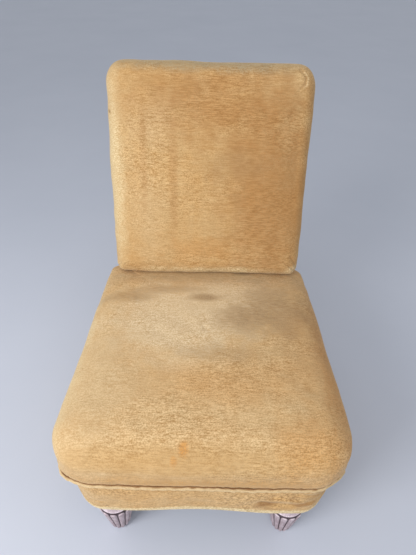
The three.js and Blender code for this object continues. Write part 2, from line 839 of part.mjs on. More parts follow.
// The upholstered band round the frame, with a rolled lower edge that follows the front arch.
function seatBorder() {
  const foot = legHeight - touch;
  const rolled = borderRoll / 2;
  const middleInset = (borderTopInset + borderFootInset) / 2 - borderBelly;
  const section = [
    [borderFootInset + rolled, foot, 1],
    [borderFootInset + borderThickness, foot + touch, 1],
    [borderFootInset + borderThickness, railTop],
    [borderTopInset + borderThickness, borderTop - borderRoll],
    [borderTopInset + borderThickness, borderTop],
    [borderTopInset, borderTop],
    [middleInset, (borderTop + foot) / 2, borderMiddleLiftShare],
    [borderFootInset, foot + 2 * borderRoll, 1],
    [borderFootInset, foot + borderRoll, 1],
    [borderFootInset + rolled / 3, foot + borderRoll / 3, 1],
  ];
  return ringSolid(outlineRings(section));
}

// Thin cloth under the webbing that keeps dust in. It clears both legs and posts.
function dustCover(slots) {
  const ringAt = (inset, height) =>
    seatOutline(inset).map(([x, y]) => [x, y, height + dustCoverLiftShare * undersideLift(x, y)]);
  const insets = [archFadeEnd, archFadeStart, dustCoverInset];
  const foot = dustCoverTop - dustCoverThickness;
  const under = insets.map((inset) => ringAt(inset, foot));
  const over = insets.map((inset) => ringAt(inset, dustCoverTop)).reverse();
  const sheet = ringSolid([...under, ...over], [0, padMiddle, foot], [0, padMiddle, dustCoverTop]);
  const holeRadius = legCollarRadius + dustCoverLegGap;
  const hole = new THREE.CylinderGeometry(holeRadius, holeRadius, legCollarHeight, dustCoverHoleSides);
  hole.rotateX(quarter).translate(legX, legY, dustCoverTop);
  return cutAway(sheet, [...slots, hole, mirrored(hole)]);
}

// The outside of the back from its rear edge round to the middle of its face, one skin deep.
const backOutsideSteps = 5;
const backInsideSteps = 3;
const backFaceShares = [0.35, 1];

function backSkin(skin, rear, sideSteps) {
  const rings = [backRing(skin, rear)];
  for (let i = 0; i <= sideSteps; i += 1) {
    const angle = (quarter * i) / sideSteps;
    const inset = backShoulder * (1 - Math.cos(angle)) + skin * Math.cos(angle);
    rings.push(backRing(inset, backShoulderDepth * (1 - Math.sin(angle)) + skin * Math.sin(angle)));
  }
  backFaceShares.forEach((share) => {
    const inset = THREE.MathUtils.lerp(backShoulder, backCrownReach, share);
    rings.push(backRing(inset, skin - backCrown * share * (2 - share)));
  });
  return rings;
}

function backPeak(skin) {
  return backPoint(0, backHeight / 2, skin - backCrown);
}

function backCover(slots) {
  const outside = backSkin(0, backThickness, backOutsideSteps);
  const inside = backSkin(coverThickness, backThickness, backInsideSteps).reverse();
  const skin = ringSolid([...inside, ...outside], backPeak(coverThickness), backPeak(0), inside.length);
  return cutAway(skin, slots);
}

const backCanvasRear = upright.front - 2 * touch - webDrop - webThickness;

function backCanvas() {
  const inset = coverThickness + 4 * touch;
  const front = backCanvasRear - canvasThickness;
  return ringSolid(
    [backRing(inset, backCanvasRear), backRing(inset, front)],
    backPoint(0, backHeight / 2, backCanvasRear),
    backPoint(0, backHeight / 2, front),
  );
}

function backStuffing() {
  const skin = coverThickness + touch;
  const rear = backCanvasRear - canvasThickness - touch;
  return ringSolid(backSkin(skin, rear, backInsideSteps), backPoint(0, backHeight / 2, rear), backPeak(skin));
}

// The flat cloth panel that closes the rear of the back.
function outsideBack() {
  const near = backThickness + touch;
  const far = near + outsidePanelThickness;
  return ringSolid(
    [backRing(2 * outsidePanelInset, far), backRing(outsidePanelInset, far - outsidePanelThickness / 2),
      backRing(outsidePanelInset, near)],
    backPoint(0, backHeight / 2, far),
    backPoint(0, backHeight / 2, near),
  );
}

function addFrame() {
  addPair('front_leg', frontLeg(), limedWood);
  addPair('rear_post', rearPost(), limedWood);
  const [footX, footY] = legAxisAt(0);
  addPair('front_glide', glide(footX, footY), nickel);
  addPair('rear_glide', glide((postInner + postOuter) / 2, postFootFront + postFootDepth / 2), nickel);
  addPiece('seat_front_rail', frontRail(), beech);
  addPiece('seat_rear_rail', rearRail(), beech);
  addPair('seat_side_rail', sideRail(), beech);
  addPair('front_corner_block', frontCornerBlock(), beech);
  addPair('rear_corner_block', rearCornerBlock(), beech);
  addPiece('back_top_rail', backRail(postTop - topRailHeight, topRailHeight), beech);
  addPiece('back_stay_rail', backRail(stayRailFoot, stayRailHeight), beech);
}

function addUpholstery() {
  const slots = postSlots();
  addPiece('spring_canvas', springCanvas(slots), hessian);
  addPiece('seat_edge_roll', edgeRoll(), fibre);
  addPiece('seat_stuffing', seatStuffing(slots), fibre);
  addPiece('seat_cover', seatCover(slots), velour);
  addPiece('seat_piping', seatPiping(), velour);
  addPiece('seat_border', seatBorder(), velour);
  addPiece('dust_cover', dustCover(slots), blackCotton);
  addPiece('back_canvas', backCanvas(), hessian);
  addPiece('back_stuffing', backStuffing(), fibre);
  addPiece('back_cover', backCover(slots), velour);
  addPiece('outside_back', outsideBack(), velour);
}

addFrame();
addSeatWebbing();
addBackWebbing();
addSprings();
addUpholstery();

// The origin lies on the floor under the middle of the finished chair.
const extent = new THREE.Box3().setFromObject(chair);
chair.position.y = -(extent.min.y + extent.max.y) / 2;

const group = new THREE.Group();
group.add(chair);
export default group;
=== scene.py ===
"""A low armless slipper chair in gold velour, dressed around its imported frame.

Metres, +Z up, the seat faces -Y. Left and right are as seen by a person who stands in front of the chair,
so right is +X.
"""

import json
import logging
import math
from dataclasses import dataclass, field
from enum import Enum
from typing import Any

import bpy
import numpy as np
from mathutils import Matrix, Vector

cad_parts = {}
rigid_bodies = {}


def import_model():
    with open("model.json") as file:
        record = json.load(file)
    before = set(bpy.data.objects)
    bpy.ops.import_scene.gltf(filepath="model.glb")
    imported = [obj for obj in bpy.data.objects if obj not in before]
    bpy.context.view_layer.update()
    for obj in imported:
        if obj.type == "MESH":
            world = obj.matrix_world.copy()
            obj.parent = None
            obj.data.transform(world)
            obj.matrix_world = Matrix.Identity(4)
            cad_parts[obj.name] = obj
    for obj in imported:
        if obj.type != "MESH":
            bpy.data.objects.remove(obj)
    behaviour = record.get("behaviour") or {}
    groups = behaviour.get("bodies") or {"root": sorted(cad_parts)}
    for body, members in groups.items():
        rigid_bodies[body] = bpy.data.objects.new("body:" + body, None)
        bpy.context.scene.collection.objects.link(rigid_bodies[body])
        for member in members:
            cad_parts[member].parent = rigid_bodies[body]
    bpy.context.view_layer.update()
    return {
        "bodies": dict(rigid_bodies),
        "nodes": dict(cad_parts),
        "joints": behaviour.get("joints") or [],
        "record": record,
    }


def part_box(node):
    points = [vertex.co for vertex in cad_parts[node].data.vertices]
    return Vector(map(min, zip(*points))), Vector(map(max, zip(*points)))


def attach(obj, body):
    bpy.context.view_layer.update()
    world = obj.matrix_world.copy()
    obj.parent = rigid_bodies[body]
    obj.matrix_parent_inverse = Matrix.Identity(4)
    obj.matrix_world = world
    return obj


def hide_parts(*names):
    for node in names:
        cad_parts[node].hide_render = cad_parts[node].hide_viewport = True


Array = np.ndarray
Values = np.ndarray | float
Pair = tuple[float, float]
Triple = tuple[float, float, float]
Line = tuple[Pair, ...]
Colour = Triple

LOG = logging.getLogger("slipper_chair")
TURN = 2.0 * math.pi
QUARTER = math.pi / 2.0
BODY = "root"
PIECE_GAP = 0.0003
LEAST_CORNER = 0.003
POLE_SHARE = 0.03


# Arithmetic on grids of points


def smooth_step(low: float, high: float, value: Array) -> Array:
    """A value's rise from 0 at low to 1 at high, level at both ends.

    Args:
        low: Where the rise starts.
        high: Where it ends.
        value: Numbers of any shape.

    Returns:
        3t^2 - 2t^3, where t is the clipped share of the way from low to high.
    """
    t = np.clip((value - low) / (high - low), 0.0, 1.0)
    return t * t * (3.0 - 2.0 * t)


def smooth_least(a: Values, b: Values, width: float) -> Values:
    """The lesser of two surfaces with the crease between them rounded.

    Args:
        a: Heights of one surface.
        b: Heights of the other.
        width: Difference in height over which they blend.

    Returns:
        min(a, b) less width * h^2 / 4, where h falls from 1 on the crease to 0 at that difference.
    """
    near = np.clip(1.0 - np.abs(a - b) / width, 0.0, 1.0)
    return np.minimum(a, b) - width * near * near / 4.0


@dataclass(frozen=True)
class Ripple:
    """Uneven waves round a closed edge: cosines whose numbers of waves and phases are picked by a seed."""

    height: float
    fewest: int
    most: int
    terms: int
    seed: int

    def at(self, share: Array) -> Array:
        """The waves at places along the edge.

        Args:
            share: Place along the edge, 0 to 1.

        Returns:
            The sum of the cosines over the root of their number, most of it between -height and height.
        """
        pick = np.random.default_rng(self.seed)
        counts = pick.integers(self.fewest, self.most + 1, self.terms)
        phases = pick.uniform(0.0, TURN, self.terms)
        waves = np.cos(TURN * share[..., None] * counts + phases)
        return self.height * waves.sum(axis=-1) / math.sqrt(self.terms)


@dataclass(frozen=True)
class Undulation:
    """Soft unevenness through space, the same wherever two pieces meet: plane waves picked by a seed."""

    height: float
    wavelength: float
    terms: int
    seed: int

    def at(self, points: Array) -> Array:
        """The sum of the plane waves over the root of their number, at each point.

        Args:
            points: Points, their coordinates last.

        Returns:
            One height for each point.
        """
        pick = np.random.default_rng(self.seed)
        directions = pick.normal(size=(self.terms, 3))
        directions /= np.linalg.norm(directions, axis=1, keepdims=True)
        lengths = self.wavelength * pick.uniform(0.7, 1.5, self.terms)
        phases = pick.uniform(0.0, TURN, self.terms)
        waves = np.cos(points @ (directions * TURN / lengths[:, None]).T + phases)
        return self.height * waves.sum(axis=-1) / math.sqrt(self.terms)


def shares(columns: int) -> Array:
    """Even places round a closed edge, 0 to 1, in one row."""
    return np.arange(columns)[None, :] / columns


def joined(x: Values, y: Values, z: Values) -> Array:
    """Points from three coordinates, each spread over the shape that all three share."""
    return np.stack(np.broadcast_arrays(x, y, z), axis=-1)


def towards_middle(x: Array, y: Array, middle: float, share: Array) -> tuple[Array, Array]:
    """Smaller copies of an outline about a place on its axis: each distance from there times a share."""
    return x * share, middle + (y - middle) * share


def bell(value: Array, middle: float, spread: float) -> Array:
    """A bump of height 1: e to the power -((value - middle) / spread)^2."""
    return np.exp(-(((value - middle) / spread) ** 2))


def grid_normals(points: Array) -> Array:
    """Outward normals of a skin whose rows close on themselves.

    Args:
        points: Rows, columns and coordinates.

    Returns:
        The cross product of the step along a row and the step across rows, at unit length.
    """
    along = np.roll(points, -1, axis=1) - np.roll(points, 1, axis=1)
    across = np.gradient(points, axis=0)
    cross = np.cross(along, across)
    return cross / (np.linalg.norm(cross, axis=-1, keepdims=True) + 1e-12)


def crease(a: Array, b: Array, path: Line, width: float) -> Array:
    """How close each place lies to a line drawn on a surface.

    Args:
        a: First coordinate of each place.
        b: Second coordinate of each place.
        path: Corners of the line.
        width: Distance at which closeness has fallen to 1/e.

    Returns:
        e to the power -(d / width)^2, where d is the distance to the nearest stretch of the line.
    """
    nearest = np.full(np.broadcast(a, b).shape, np.inf)
    for (a0, b0), (a1, b1) in zip(path, path[1:]):
        along_a, along_b = a1 - a0, b1 - b0
        reach = ((a - a0) * along_a + (b - b0) * along_b) / (along_a**2 + along_b**2)
        t = np.clip(reach, 0.0, 1.0)
        nearest = np.minimum(nearest, np.hypot(a - a0 - t * along_a, b - b0 - t * along_b))
    return np.exp(-((nearest / width) ** 2))


def rounded_rectangle(
    share: Array,
    half_width: Values,
    near: Values,
    far: Values,
    near_radius: Values,
    far_radius: Values,
    breaks: Array,
) -> tuple[Array, Array]:
    """Places on a rectangle with round corners.

    Each half of the outline is a straight, a quarter circle, a straight, a quarter circle and a straight.
    A place is the sum of what each of the five adds as its own share runs from 0 to 1.

    Args:
        share: Place along the outline, 0 to 1, counter-clockwise from the middle of the near edge.
        half_width: Half the width.
        near: Where the near edge lies.
        far: Where the far edge lies.
        near_radius: Radius of the two near corners.
        far_radius: Radius of the two far corners.
        breaks: The shares of one half at which the five stretches meet, with 0 and 1.

    Returns:
        The places across and along.
    """
    half = 1.0 - np.abs(2.0 * share - 1.0)
    steps = [np.clip((half - low) / (high - low), 0.0, 1.0) for low, high in zip(breaks, breaks[1:])]
    first, second = steps[1] * QUARTER, steps[3] * QUARTER
    across = (half_width - near_radius) * steps[0] + near_radius * np.sin(first)
    across = across - far_radius * (1.0 - np.cos(second)) - (half_width - far_radius) * steps[4]
    along = near + near_radius * (1.0 - np.cos(first)) + far_radius * np.sin(second)
    along = along + (far - near - near_radius - far_radius) * steps[2]
    return np.where(share <= 0.5, across, -across), along


def stretch_breaks(half_width: float, length: float, near_radius: float, far_radius: float) -> Array:
    """The shares of half an outline at which its five stretches meet, by their lengths.

    Args:
        half_width: Half the width.
        length: The length.
        near_radius: Radius of the two near corners.
        far_radius: Radius of the two far corners.

    Returns:
        Six shares, from 0 to 1.
    """
    lengths = [
        half_width - near_radius,
        near_radius * QUARTER,
        length - near_radius - far_radius,
        far_radius * QUARTER,
        half_width - far_radius,
    ]
    return np.concatenate([[0.0], np.cumsum(lengths) / np.sum(lengths)])


def inset_outline(
    share: Array, inset: Values, size: Pair, corners: tuple[Values, Values], breaks: Array
) -> tuple[Array, Array]:
    """Places on a round-cornered outline that is drawn in all round, down to a least corner radius.

    Args:
        share: Place along the outline, 0 to 1, counter-clockwise from the middle of the near edge.
        inset: How far it is drawn in.
        size: Half the width, and the length.
        corners: Radii of the near corners and of the far ones.
        breaks: The shares of one half at which its five stretches meet.

    Returns:
        The places across and along.
    """
    half_width, length = size
    near_radius, far_radius = (np.maximum(corner - inset, LEAST_CORNER) for corner in corners)
    return rounded_rectangle(
        share, half_width - inset, inset, length - inset, near_radius, far_radius, breaks
    )


# Meshes


def linked(name: str, data: bpy.types.ID) -> bpy.types.Object:
    """A new object at the scene's origin.

    Args:
        name: Its name.
        data: Its mesh, lamp or camera.

    Returns:
        The object.
    """
    made = bpy.data.objects.new(name, data)
    bpy.context.scene.collection.objects.link(made)
    return made


@dataclass
class Skin:
    """A closed skin: rows that close on themselves, with a pole at each end or joined end to end."""

    points: Array
    start: Array | None = None
    end: Array | None = None
    values: dict[str, Array] = field(default_factory=dict)

    def faces(self) -> list[list[int]]:
        """Quads between neighbouring rows, and a fan of triangles at each pole.

        Returns:
            The numbers of each face's vertices.
        """
        rows, columns = self.points.shape[:2]
        index = np.arange(rows * columns).reshape(rows, columns)
        lower = index if self.start is None else index[:-1]
        upper = np.roll(index, -1, axis=0) if self.start is None else index[1:]
        corners = [lower, np.roll(lower, -1, axis=1), np.roll(upper, -1, axis=1), upper]
        quads = np.stack(corners, axis=-1).reshape(-1, 4).tolist()
        if self.start is None:
            return quads
        after = np.roll(np.arange(columns), -1)
        first = np.full(columns, rows * columns)
        fans = np.concatenate(
            [
                np.stack([first, after, np.arange(columns)], axis=-1),
                np.stack([first + 1, index[-1], index[-1][after]], axis=-1),
            ]
        )
        return quads + fans.tolist()

    def vertices(self) -> Array:
        """All points in order, the poles last."""
        flat = self.points.reshape(-1, 3)
        return flat if self.start is None else np.vstack([flat, self.start, self.end])

    def build(self, name: str) -> bpy.types.Object:
        """Puts the skin into a mesh object.

        Args:
            name: The object's name.

        Returns:
            The object, smooth shaded, at the origin, with each of the skin's values as an attribute.
        """
        mesh = bpy.data.meshes.new(name)
        mesh.from_pydata(self.vertices().tolist(), [], self.faces())
        mesh.shade_smooth()
        for key, grid in self.values.items():
            spread = np.broadcast_to(grid, self.points.shape[:2])
            flat = np.zeros(len(mesh.vertices), np.float32)
            flat[: spread.size] = spread.ravel()
            mesh.attributes.new(key, "FLOAT", "POINT").data.foreach_set("value", flat)
        return linked(name, mesh)


def mirrored(skin: Skin) -> Skin:
    """The same skin on the other side of the chair, its rows reversed so that it still faces outwards.

    Args:
        skin: A skin on the right of the chair.

    Returns:
        The skin on the left.
    """
    flip = np.array([-1.0, 1.0, 1.0])
    return Skin(
        skin.points[:, ::-1] * flip,
        None if skin.start is None else skin.start * flip,
        None if skin.end is None else skin.end * flip,
        {key: grid[:, ::-1] for key, grid in skin.values.items()},
    )


@dataclass(frozen=True)
class Swelling:
    """How far a padded form may swell as cloth over its filling."""

    pressure: float = 4.0
    reach: float = 0.006
    last_frame: int = 20
    row_step: int = 3
    column_step: int = 4
    smoothing_passes: int = 5

    def moved(self, skin: Skin, held: Array) -> Array:
        """Runs the cloth and gives how far each point of the skin moves.

        Every few rows and columns of the skin are simulated. Only the part of a move along the outward
        normal is kept. The moves between are worked out in proportion and evened out with a 1-2-1 mean.

        Args:
            skin: The padded form before it swells.
            held: 1 where a point is sewn down, and 0 elsewhere, by row and column.

        Returns:
            The moves, in the same grid as the skin's points.
        """
        coarse = skin.points[:: self.row_step, :: self.column_step]
        small = Skin(coarse, skin.start, skin.end)
        cloth = small.build("cloth_trial")
        pinned = np.flatnonzero(held[:: self.row_step, :: self.column_step].ravel() > 0.5)
        self._simulate(cloth, pinned.tolist())
        moves = self._moves_of(cloth, small.vertices())[: coarse.shape[0] * coarse.shape[1]]
        bpy.data.meshes.remove(cloth.data)
        normals = grid_normals(coarse)
        outward = np.clip(np.sum(moves.reshape(coarse.shape) * normals, axis=-1), 0.0, self.reach)
        LOG.info("swells by up to %.1f mm, mean %.1f mm", 1000 * outward.max(), 1000 * outward.mean())
        return self._spread(normals * outward[..., None], skin.points.shape)

    def _simulate(self, cloth: bpy.types.Object, pinned: list[int]) -> None:
        """Adds the cloth, with no gravity, and steps it to its last frame.

        Args:
            cloth: The object that becomes cloth.
            pinned: Its vertices that stay in place.
        """
        cloth.vertex_groups.new(name="held").add(pinned, 1.0, "REPLACE")
        modifier = cloth.modifiers.new("cloth", "CLOTH")
        settings = modifier.settings
        settings.vertex_group_mass = "held"
        settings.use_pressure = True
        settings.uniform_pressure_force = self.pressure
        settings.effector_weights.gravity = 0.0
        modifier.point_cache.frame_start = 1
        modifier.point_cache.frame_end = self.last_frame
        for frame_number in range(1, self.last_frame + 1):
            bpy.context.scene.frame_set(frame_number)

    def _moves_of(self, cloth: bpy.types.Object, rest: Array) -> Array:
        """How far the simulated points lie from rest, none further than the reach.

        Args:
            cloth: The simulated object.
            rest: Its points before.

        Returns:
            One move for each point.
        """
        shown = cloth.evaluated_get(bpy.context.evaluated_depsgraph_get())
        places = np.zeros(rest.size, np.float32)
        shown.data.vertices.foreach_get("co", places)
        bpy.context.scene.frame_set(1)
        moves = places.reshape(-1, 3) - rest
        size = np.linalg.norm(moves, axis=1, keepdims=True)
        return moves * np.minimum(1.0, self.reach / (size + 1e-12))

    def _spread(self, moves: Array, shape: tuple[int, ...]) -> Array:
        """The moves of the simulated grid, in proportion over the full one.

        Args:
            moves: Moves of the rows and columns that were simulated.
            shape: Rows, columns and coordinates of the full grid.

        Returns:
            The moves of the full grid.
        """
        row_place = np.minimum(np.arange(shape[0]) / self.row_step, moves.shape[0] - 1)
        low = np.floor(row_place).astype(int)
        high = np.minimum(low + 1, moves.shape[0] - 1)
        part = (row_place - low)[:, None, None]
        by_row = moves[low] * (1.0 - part) + moves[high] * part
        column_place = np.arange(shape[1]) / self.column_step
        left = np.floor(column_place).astype(int)
        part = (column_place - left)[None, :, None]
        full = by_row[:, left] * (1.0 - part) + by_row[:, (left + 1) % moves.shape[1]] * part
        for _ in range(self.smoothing_passes):
            full = (np.roll(full, 1, axis=1) + 2.0 * full + np.roll(full, -1, axis=1)) / 4.0
            padded = np.concatenate([full[:1], full, full[-1:]])
            full = (padded[:-2] + 2.0 * padded[1:-1] + padded[2:]) / 4.0
        return full


# Shader arithmetic


def linear(red: int, green: int, blue: int) -> Colour:
    """A colour given 0 to 255, as the linear values that a shader takes.

    Args:
        red: Red, 0 to 255.
        green: Green, 0 to 255.
        blue: Blue, 0 to 255.

    Returns:
        Red, green and blue, 0 to 1.
    """
    shares = np.array([red, green, blue]) / 255.0
    low, high = shares / 12.92, ((shares + 0.055) / 1.055) ** 2.4
    return tuple(float(part) for part in np.where(shares <= 0.04045, low, high))


@dataclass(frozen=True)
class Flow:
    """One output of a node, on which Python's signs add Math nodes."""

    painter: "Painter"
    socket: bpy.types.NodeSocket

    def _math(self, operation: str, first: Any, second: Any) -> "Flow":
        """A Math node on two values or flows."""
        return self.painter.node("ShaderNodeMath", {"operation": operation}, {0: first, 1: second})

    def __add__(self, other: Any) -> "Flow":
        """This plus a value or flow."""
        return self._math("ADD", self, other)

    def __sub__(self, other: Any) -> "Flow":
        """This less a value or flow."""
        return self._math("SUBTRACT", self, other)

    def __rsub__(self, other: Any) -> "Flow":
        """A value less this."""
        return self._math("SUBTRACT", other, self)

    def __mul__(self, other: Any) -> "Flow":
        """This times a value or flow."""
        return self._math("MULTIPLY", self, other)

    def least(self, other: Any) -> "Flow":
        """The lesser of this and a value or flow."""
        return self._math("MINIMUM", self, other)

    __radd__ = __add__
    __rmul__ = __mul__


@dataclass(frozen=True)
class Grain:
    """A pattern of noise: its cells per metre along each axis, detail, roughness and shift."""

    scale: Triple
    detail: float = 2.0
    roughness: float = 0.5
    shift: Triple = (0.0, 0.0, 0.0)


class Painter:
    """Builds the nodes of one material on the object's own coordinates."""

    def __init__(self, name: str) -> None:
        """Starts an empty material.

        Args:
            name: The material's name.
        """
        self.material = bpy.data.materials.new(name)
        self.material.use_nodes = True
        self.nodes = self.material.node_tree.nodes
        self.nodes.clear()
        self.place = self.node("ShaderNodeTexCoord", output="Object")

    def node(
        self,
        kind: str,
        settings: dict[str, Any] | None = None,
        inputs: dict[str | int, Any] | None = None,
        output: str | int = 0,
    ) -> Flow:
        """Adds one node.

        Args:
            kind: The node's type.
            settings: Its own settings.
            inputs: A value or a flow for each socket, by name or number.
            output: The output that is wanted, by name or number.

        Returns:
            That output.
        """
        made = self.nodes.new(kind)
        for key, value in (settings or {}).items():
            setattr(made, key, value)
        for key, value in (inputs or {}).items():
            if isinstance(value, Flow):
                self.material.node_tree.links.new(value.socket, made.inputs[key])
            elif isinstance(value, tuple) and len(made.inputs[key].default_value) == 4:
                made.inputs[key].default_value = (*value, 1.0)
            else:
                made.inputs[key].default_value = value
        return Flow(self, made.outputs[output])

    def scaled(self, scale: Triple, shift: Triple = (0.0, 0.0, 0.0)) -> Flow:
        """The object's coordinates times a scale along each axis, and then shifted."""
        inputs = {"Vector": self.place, "Scale": scale, "Location": shift}
        return self.node("ShaderNodeMapping", {"vector_type": "POINT"}, inputs)

    def noise(self, scale: float, detail: float, roughness: float, vector: Flow | None = None) -> Flow:
        """Noise about 0.5, as a number, on the object's coordinates or on others."""
        inputs = {"Vector": vector or self.place, "Scale": scale, "Detail": detail, "Roughness": roughness}
        return self.node("ShaderNodeTexNoise", inputs=inputs)

    def grain(self, pattern: Grain) -> Flow:
        """A pattern of noise, stretched along the axes."""
        return self.noise(1.0, pattern.detail, pattern.roughness, self.scaled(pattern.scale, pattern.shift))

    def step(self, value: Flow, low: float, high: float, first: float = 0.0, last: float = 1.0) -> Flow:
        """A smooth rise of a value from first at low to last at high."""
        inputs = {"Value": value, "From Min": low, "From Max": high, "To Min": first, "To Max": last}
        return self.node("ShaderNodeMapRange", {"interpolation_type": "SMOOTHSTEP"}, inputs)

    def mix(
        self, factor: Flow | float, first: Flow | Colour, second: Flow | Colour, blend: str = "MIX"
    ) -> Flow:
        """One colour turned into another by a factor."""
        settings = {"data_type": "RGBA", "blend_type": blend}
        return self.node("ShaderNodeMix", settings, {0: factor, 6: first, 7: second}, 2)

    def patch(self, centre: Triple, radii: Triple, soft: float, wobble: Flow) -> Flow:
        """A soft-edged spot in space, 1 at its middle and 0 outside its radii.

        Args:
            centre: The middle of the spot.
            radii: Its half sizes along the axes.
            soft: The share of a radius over which it fades.
            wobble: A number about 0 that moves its edge in and out.

        Returns:
            The spot's strength.
        """
        scale = tuple(1.0 / part for part in radii)
        offset = tuple(-middle / part for middle, part in zip(centre, radii))
        from_middle = self.scaled(scale, offset)
        distance = self.node("ShaderNodeVectorMath", {"operation": "LENGTH"}, {0: from_middle}, "Value")
        return self.step(distance + wobble, 1.0 - soft, 1.0 + soft / 3.0, 1.0, 0.0)

    def attribute(self, name: str) -> Flow:
        """A number that the mesh carries."""
        return self.node("ShaderNodeAttribute", {"attribute_name": name}, output="Fac")

    def bump(self, height: Flow, distance: float, strength: float = 1.0) -> Flow:
        """A normal from a height in metres, taken at a full distance."""
        inputs = {"Height": height, "Distance": distance, "Strength": strength}
        return self.node("ShaderNodeBump", inputs=inputs)

    def finish(self, surface: dict[str, Any]) -> bpy.types.Material:
        """Joins the shader to the output.

        Args:
            surface: The inputs of the principled shader.

        Returns:
            The material.
        """
        shader = self.node("ShaderNodeBsdfPrincipled", inputs=surface)
        output = self.nodes.new("ShaderNodeOutputMaterial")
        self.material.node_tree.links.new(shader.socket, output.inputs["Surface"])
        return self.material


# Finishes


class Nap(Enum):
    """Which part of the chair a length of velour covers."""

    SEAT = "seat"
    BACK = "back"
    BAND = "band"
    PIPING = "piping"
    PLAIN = "plain"


@dataclass(frozen=True)
class Mark:
    """A worn, pressed or smudged place, or a patch of painted highlight or painted shade.

    It says where the place lies, its half sizes, its colour, how strong it is and how much of the nap
    is gone.
    """

    centre: Triple
    radii: Triple
    colour: Colour
    strength: float
    bare: float = 0.0


GOLD = linear(204, 167, 114)
PALE = linear(212, 184, 142)
ORANGE = linear(200, 145, 82)
SMOKE = linear(160, 128, 90)
WORN = linear(226, 202, 164)
SHADE = linear(138, 90, 46)
TAN = linear(190, 150, 96)
DEEP = linear(172, 122, 70)
OLIVE = linear(174, 154, 120)
# A pale colour for painted highlights
HIGHLIGHT_CREAM = linear(232, 212, 168)
OCHRE = linear(198, 148, 84)
# An orange-brown for painted shade on the seat's right side
SIDE_SHADE = linear(188, 128, 68)

SEAT_MARKS = (
    Mark((-0.07, -0.04, 0.40), (0.19, 0.15, 0.10), WORN, 0.88, 0.40),
    Mark((0.08, 0.02, 0.40), (0.15, 0.12, 0.10), WORN, 0.80, 0.20),
    Mark((-0.22, -0.22, 0.40), (0.12, 0.16, 0.10), PALE, 0.55, 0.5),
    # Painted highlight along the seat's left side, where the light falls
    Mark((-0.29, -0.10, 0.36), (0.05, 0.34, 0.07), HIGHLIGHT_CREAM, 0.55, 0.5),
    Mark((0.0, -0.375, 0.32), (0.34, 0.05, 0.045), OCHRE, 0.70),
    Mark((0.0, -0.362, 0.385), (0.31, 0.035, 0.045), TAN, 0.52),
    Mark((-0.17, -0.362, 0.385), (0.08, 0.035, 0.04), TAN, 0.22),
    # Painted shade down the seat's right side, away from the light
    Mark((0.28, -0.10, 0.36), (0.06, 0.42, 0.13), SIDE_SHADE, 0.52),
    Mark((0.0, 0.14, 0.40), (0.26, 0.05, 0.06), OLIVE, 0.40),
    Mark((-0.19, 0.035, 0.405), (0.080, 0.024, 0.08), SMOKE, 0.48),
    Mark((-0.10, 0.060, 0.405), (0.105, 0.017, 0.08), SMOKE, 0.42),
    Mark((-0.003, 0.030, 0.405), (0.045, 0.017, 0.08), SMOKE, 0.66),
    Mark((0.079, -0.036, 0.40), (0.070, 0.050, 0.08), SMOKE, 0.48),
    Mark((0.165, 0.00, 0.40), (0.11, 0.11, 0.08), SMOKE, 0.60),
    Mark((0.22, -0.14, 0.40), (0.07, 0.17, 0.08), DEEP, 0.20),
    Mark((0.04, -0.14, 0.40), (0.13, 0.025, 0.08), SMOKE, 0.28),
    Mark((0.03, -0.22, 0.40), (0.17, 0.06, 0.08), ORANGE, 0.26),
    Mark((0.19, -0.335, 0.39), (0.08, 0.05, 0.10), ORANGE, 0.38),
    Mark((-0.034, -0.345, 0.40), (0.011, 0.014, 0.05), ORANGE, 0.85),
    Mark((-0.05, -0.362, 0.39), (0.007, 0.008, 0.05), ORANGE, 0.55),
)
BACK_MARKS = (
    # Painted shade over the right of the back, away from the light
    Mark((0.16, 0.20, 0.60), (0.15, 0.20, 0.30), DEEP, 0.62),
    Mark((0.00, 0.30, 0.79), (0.25, 0.12, 0.11), DEEP, 0.58),
    # Painted highlight on the back's left rim, where the light falls
    Mark((-0.232, 0.25, 0.62), (0.034, 0.20, 0.34), HIGHLIGHT_CREAM, 0.60, 0.6),
    Mark((-0.137, 0.24, 0.76), (0.07, 0.10, 0.06), PALE, 0.18),
    Mark((-0.15, 0.20, 0.55), (0.05, 0.10, 0.20), PALE, 0.25),
    # Painted shade on the top ledge of the back
    Mark((0.00, 0.32, 0.872), (0.27, 0.09, 0.022), OLIVE, 0.85),
    Mark((-0.084, 0.20, 0.64), (0.012, 0.12, 0.22), DEEP, 0.28),
    Mark((-0.155, 0.22, 0.70), (0.010, 0.12, 0.18), DEEP, 0.24),
    Mark((0.05, 0.20, 0.67), (0.10, 0.10, 0.04), SMOKE, 0.22),
    Mark((-0.02, 0.17, 0.47), (0.10, 0.10, 0.035), ORANGE, 0.30),
    # Painted highlights along the rolled foot of the back
    Mark((0.00, 0.15, 0.392), (0.24, 0.05, 0.028), HIGHLIGHT_CREAM, 0.90),
    Mark((0.222, 0.15, 0.40), (0.03, 0.05, 0.022), HIGHLIGHT_CREAM, 0.60),
    Mark((-0.233, 0.27, 0.77), (0.005, 0.02, 0.005), SMOKE, 0.90),
)
BAND_MARKS = (
    # Painted highlight on the band's rolled lower edge
    Mark((0.0, -0.36, 0.155), (0.30, 0.08, 0.015), HIGHLIGHT_CREAM, 0.60),
    # Painted shade in the hollows of two pulls in the band
    Mark((0.135, -0.36, 0.208), (0.034, 0.03, 0.017), SHADE, 0.60),
    Mark((0.205, -0.35, 0.204), (0.028, 0.05, 0.014), SHADE, 0.55),
    # Painted shade on the band's right corner
    Mark((0.24, -0.33, 0.24), (0.05, 0.06, 0.035), SMOKE, 0.60),
    Mark((-0.23, -0.33, 0.22), (0.05, 0.06, 0.05), PALE, 0.45),
    Mark((-0.195, -0.35, 0.178), (0.004, 0.03, 0.004), SHADE, 0.90),
)


WORN_AREAS = Grain((6.0, 10.0, 10.0), 3.0, 0.55, (3.1, 0.0, 7.7))
BLOTCHES = Grain((6.0, 10.0, 9.0), 4.0, 0.6)
UPRIGHT_BANDS = Grain((26.0, 2.0, 2.0), 2.0, 0.5)
SMALL_BLOTCHES = Grain((18.0, 105.0, 105.0), 3.0, 0.65)


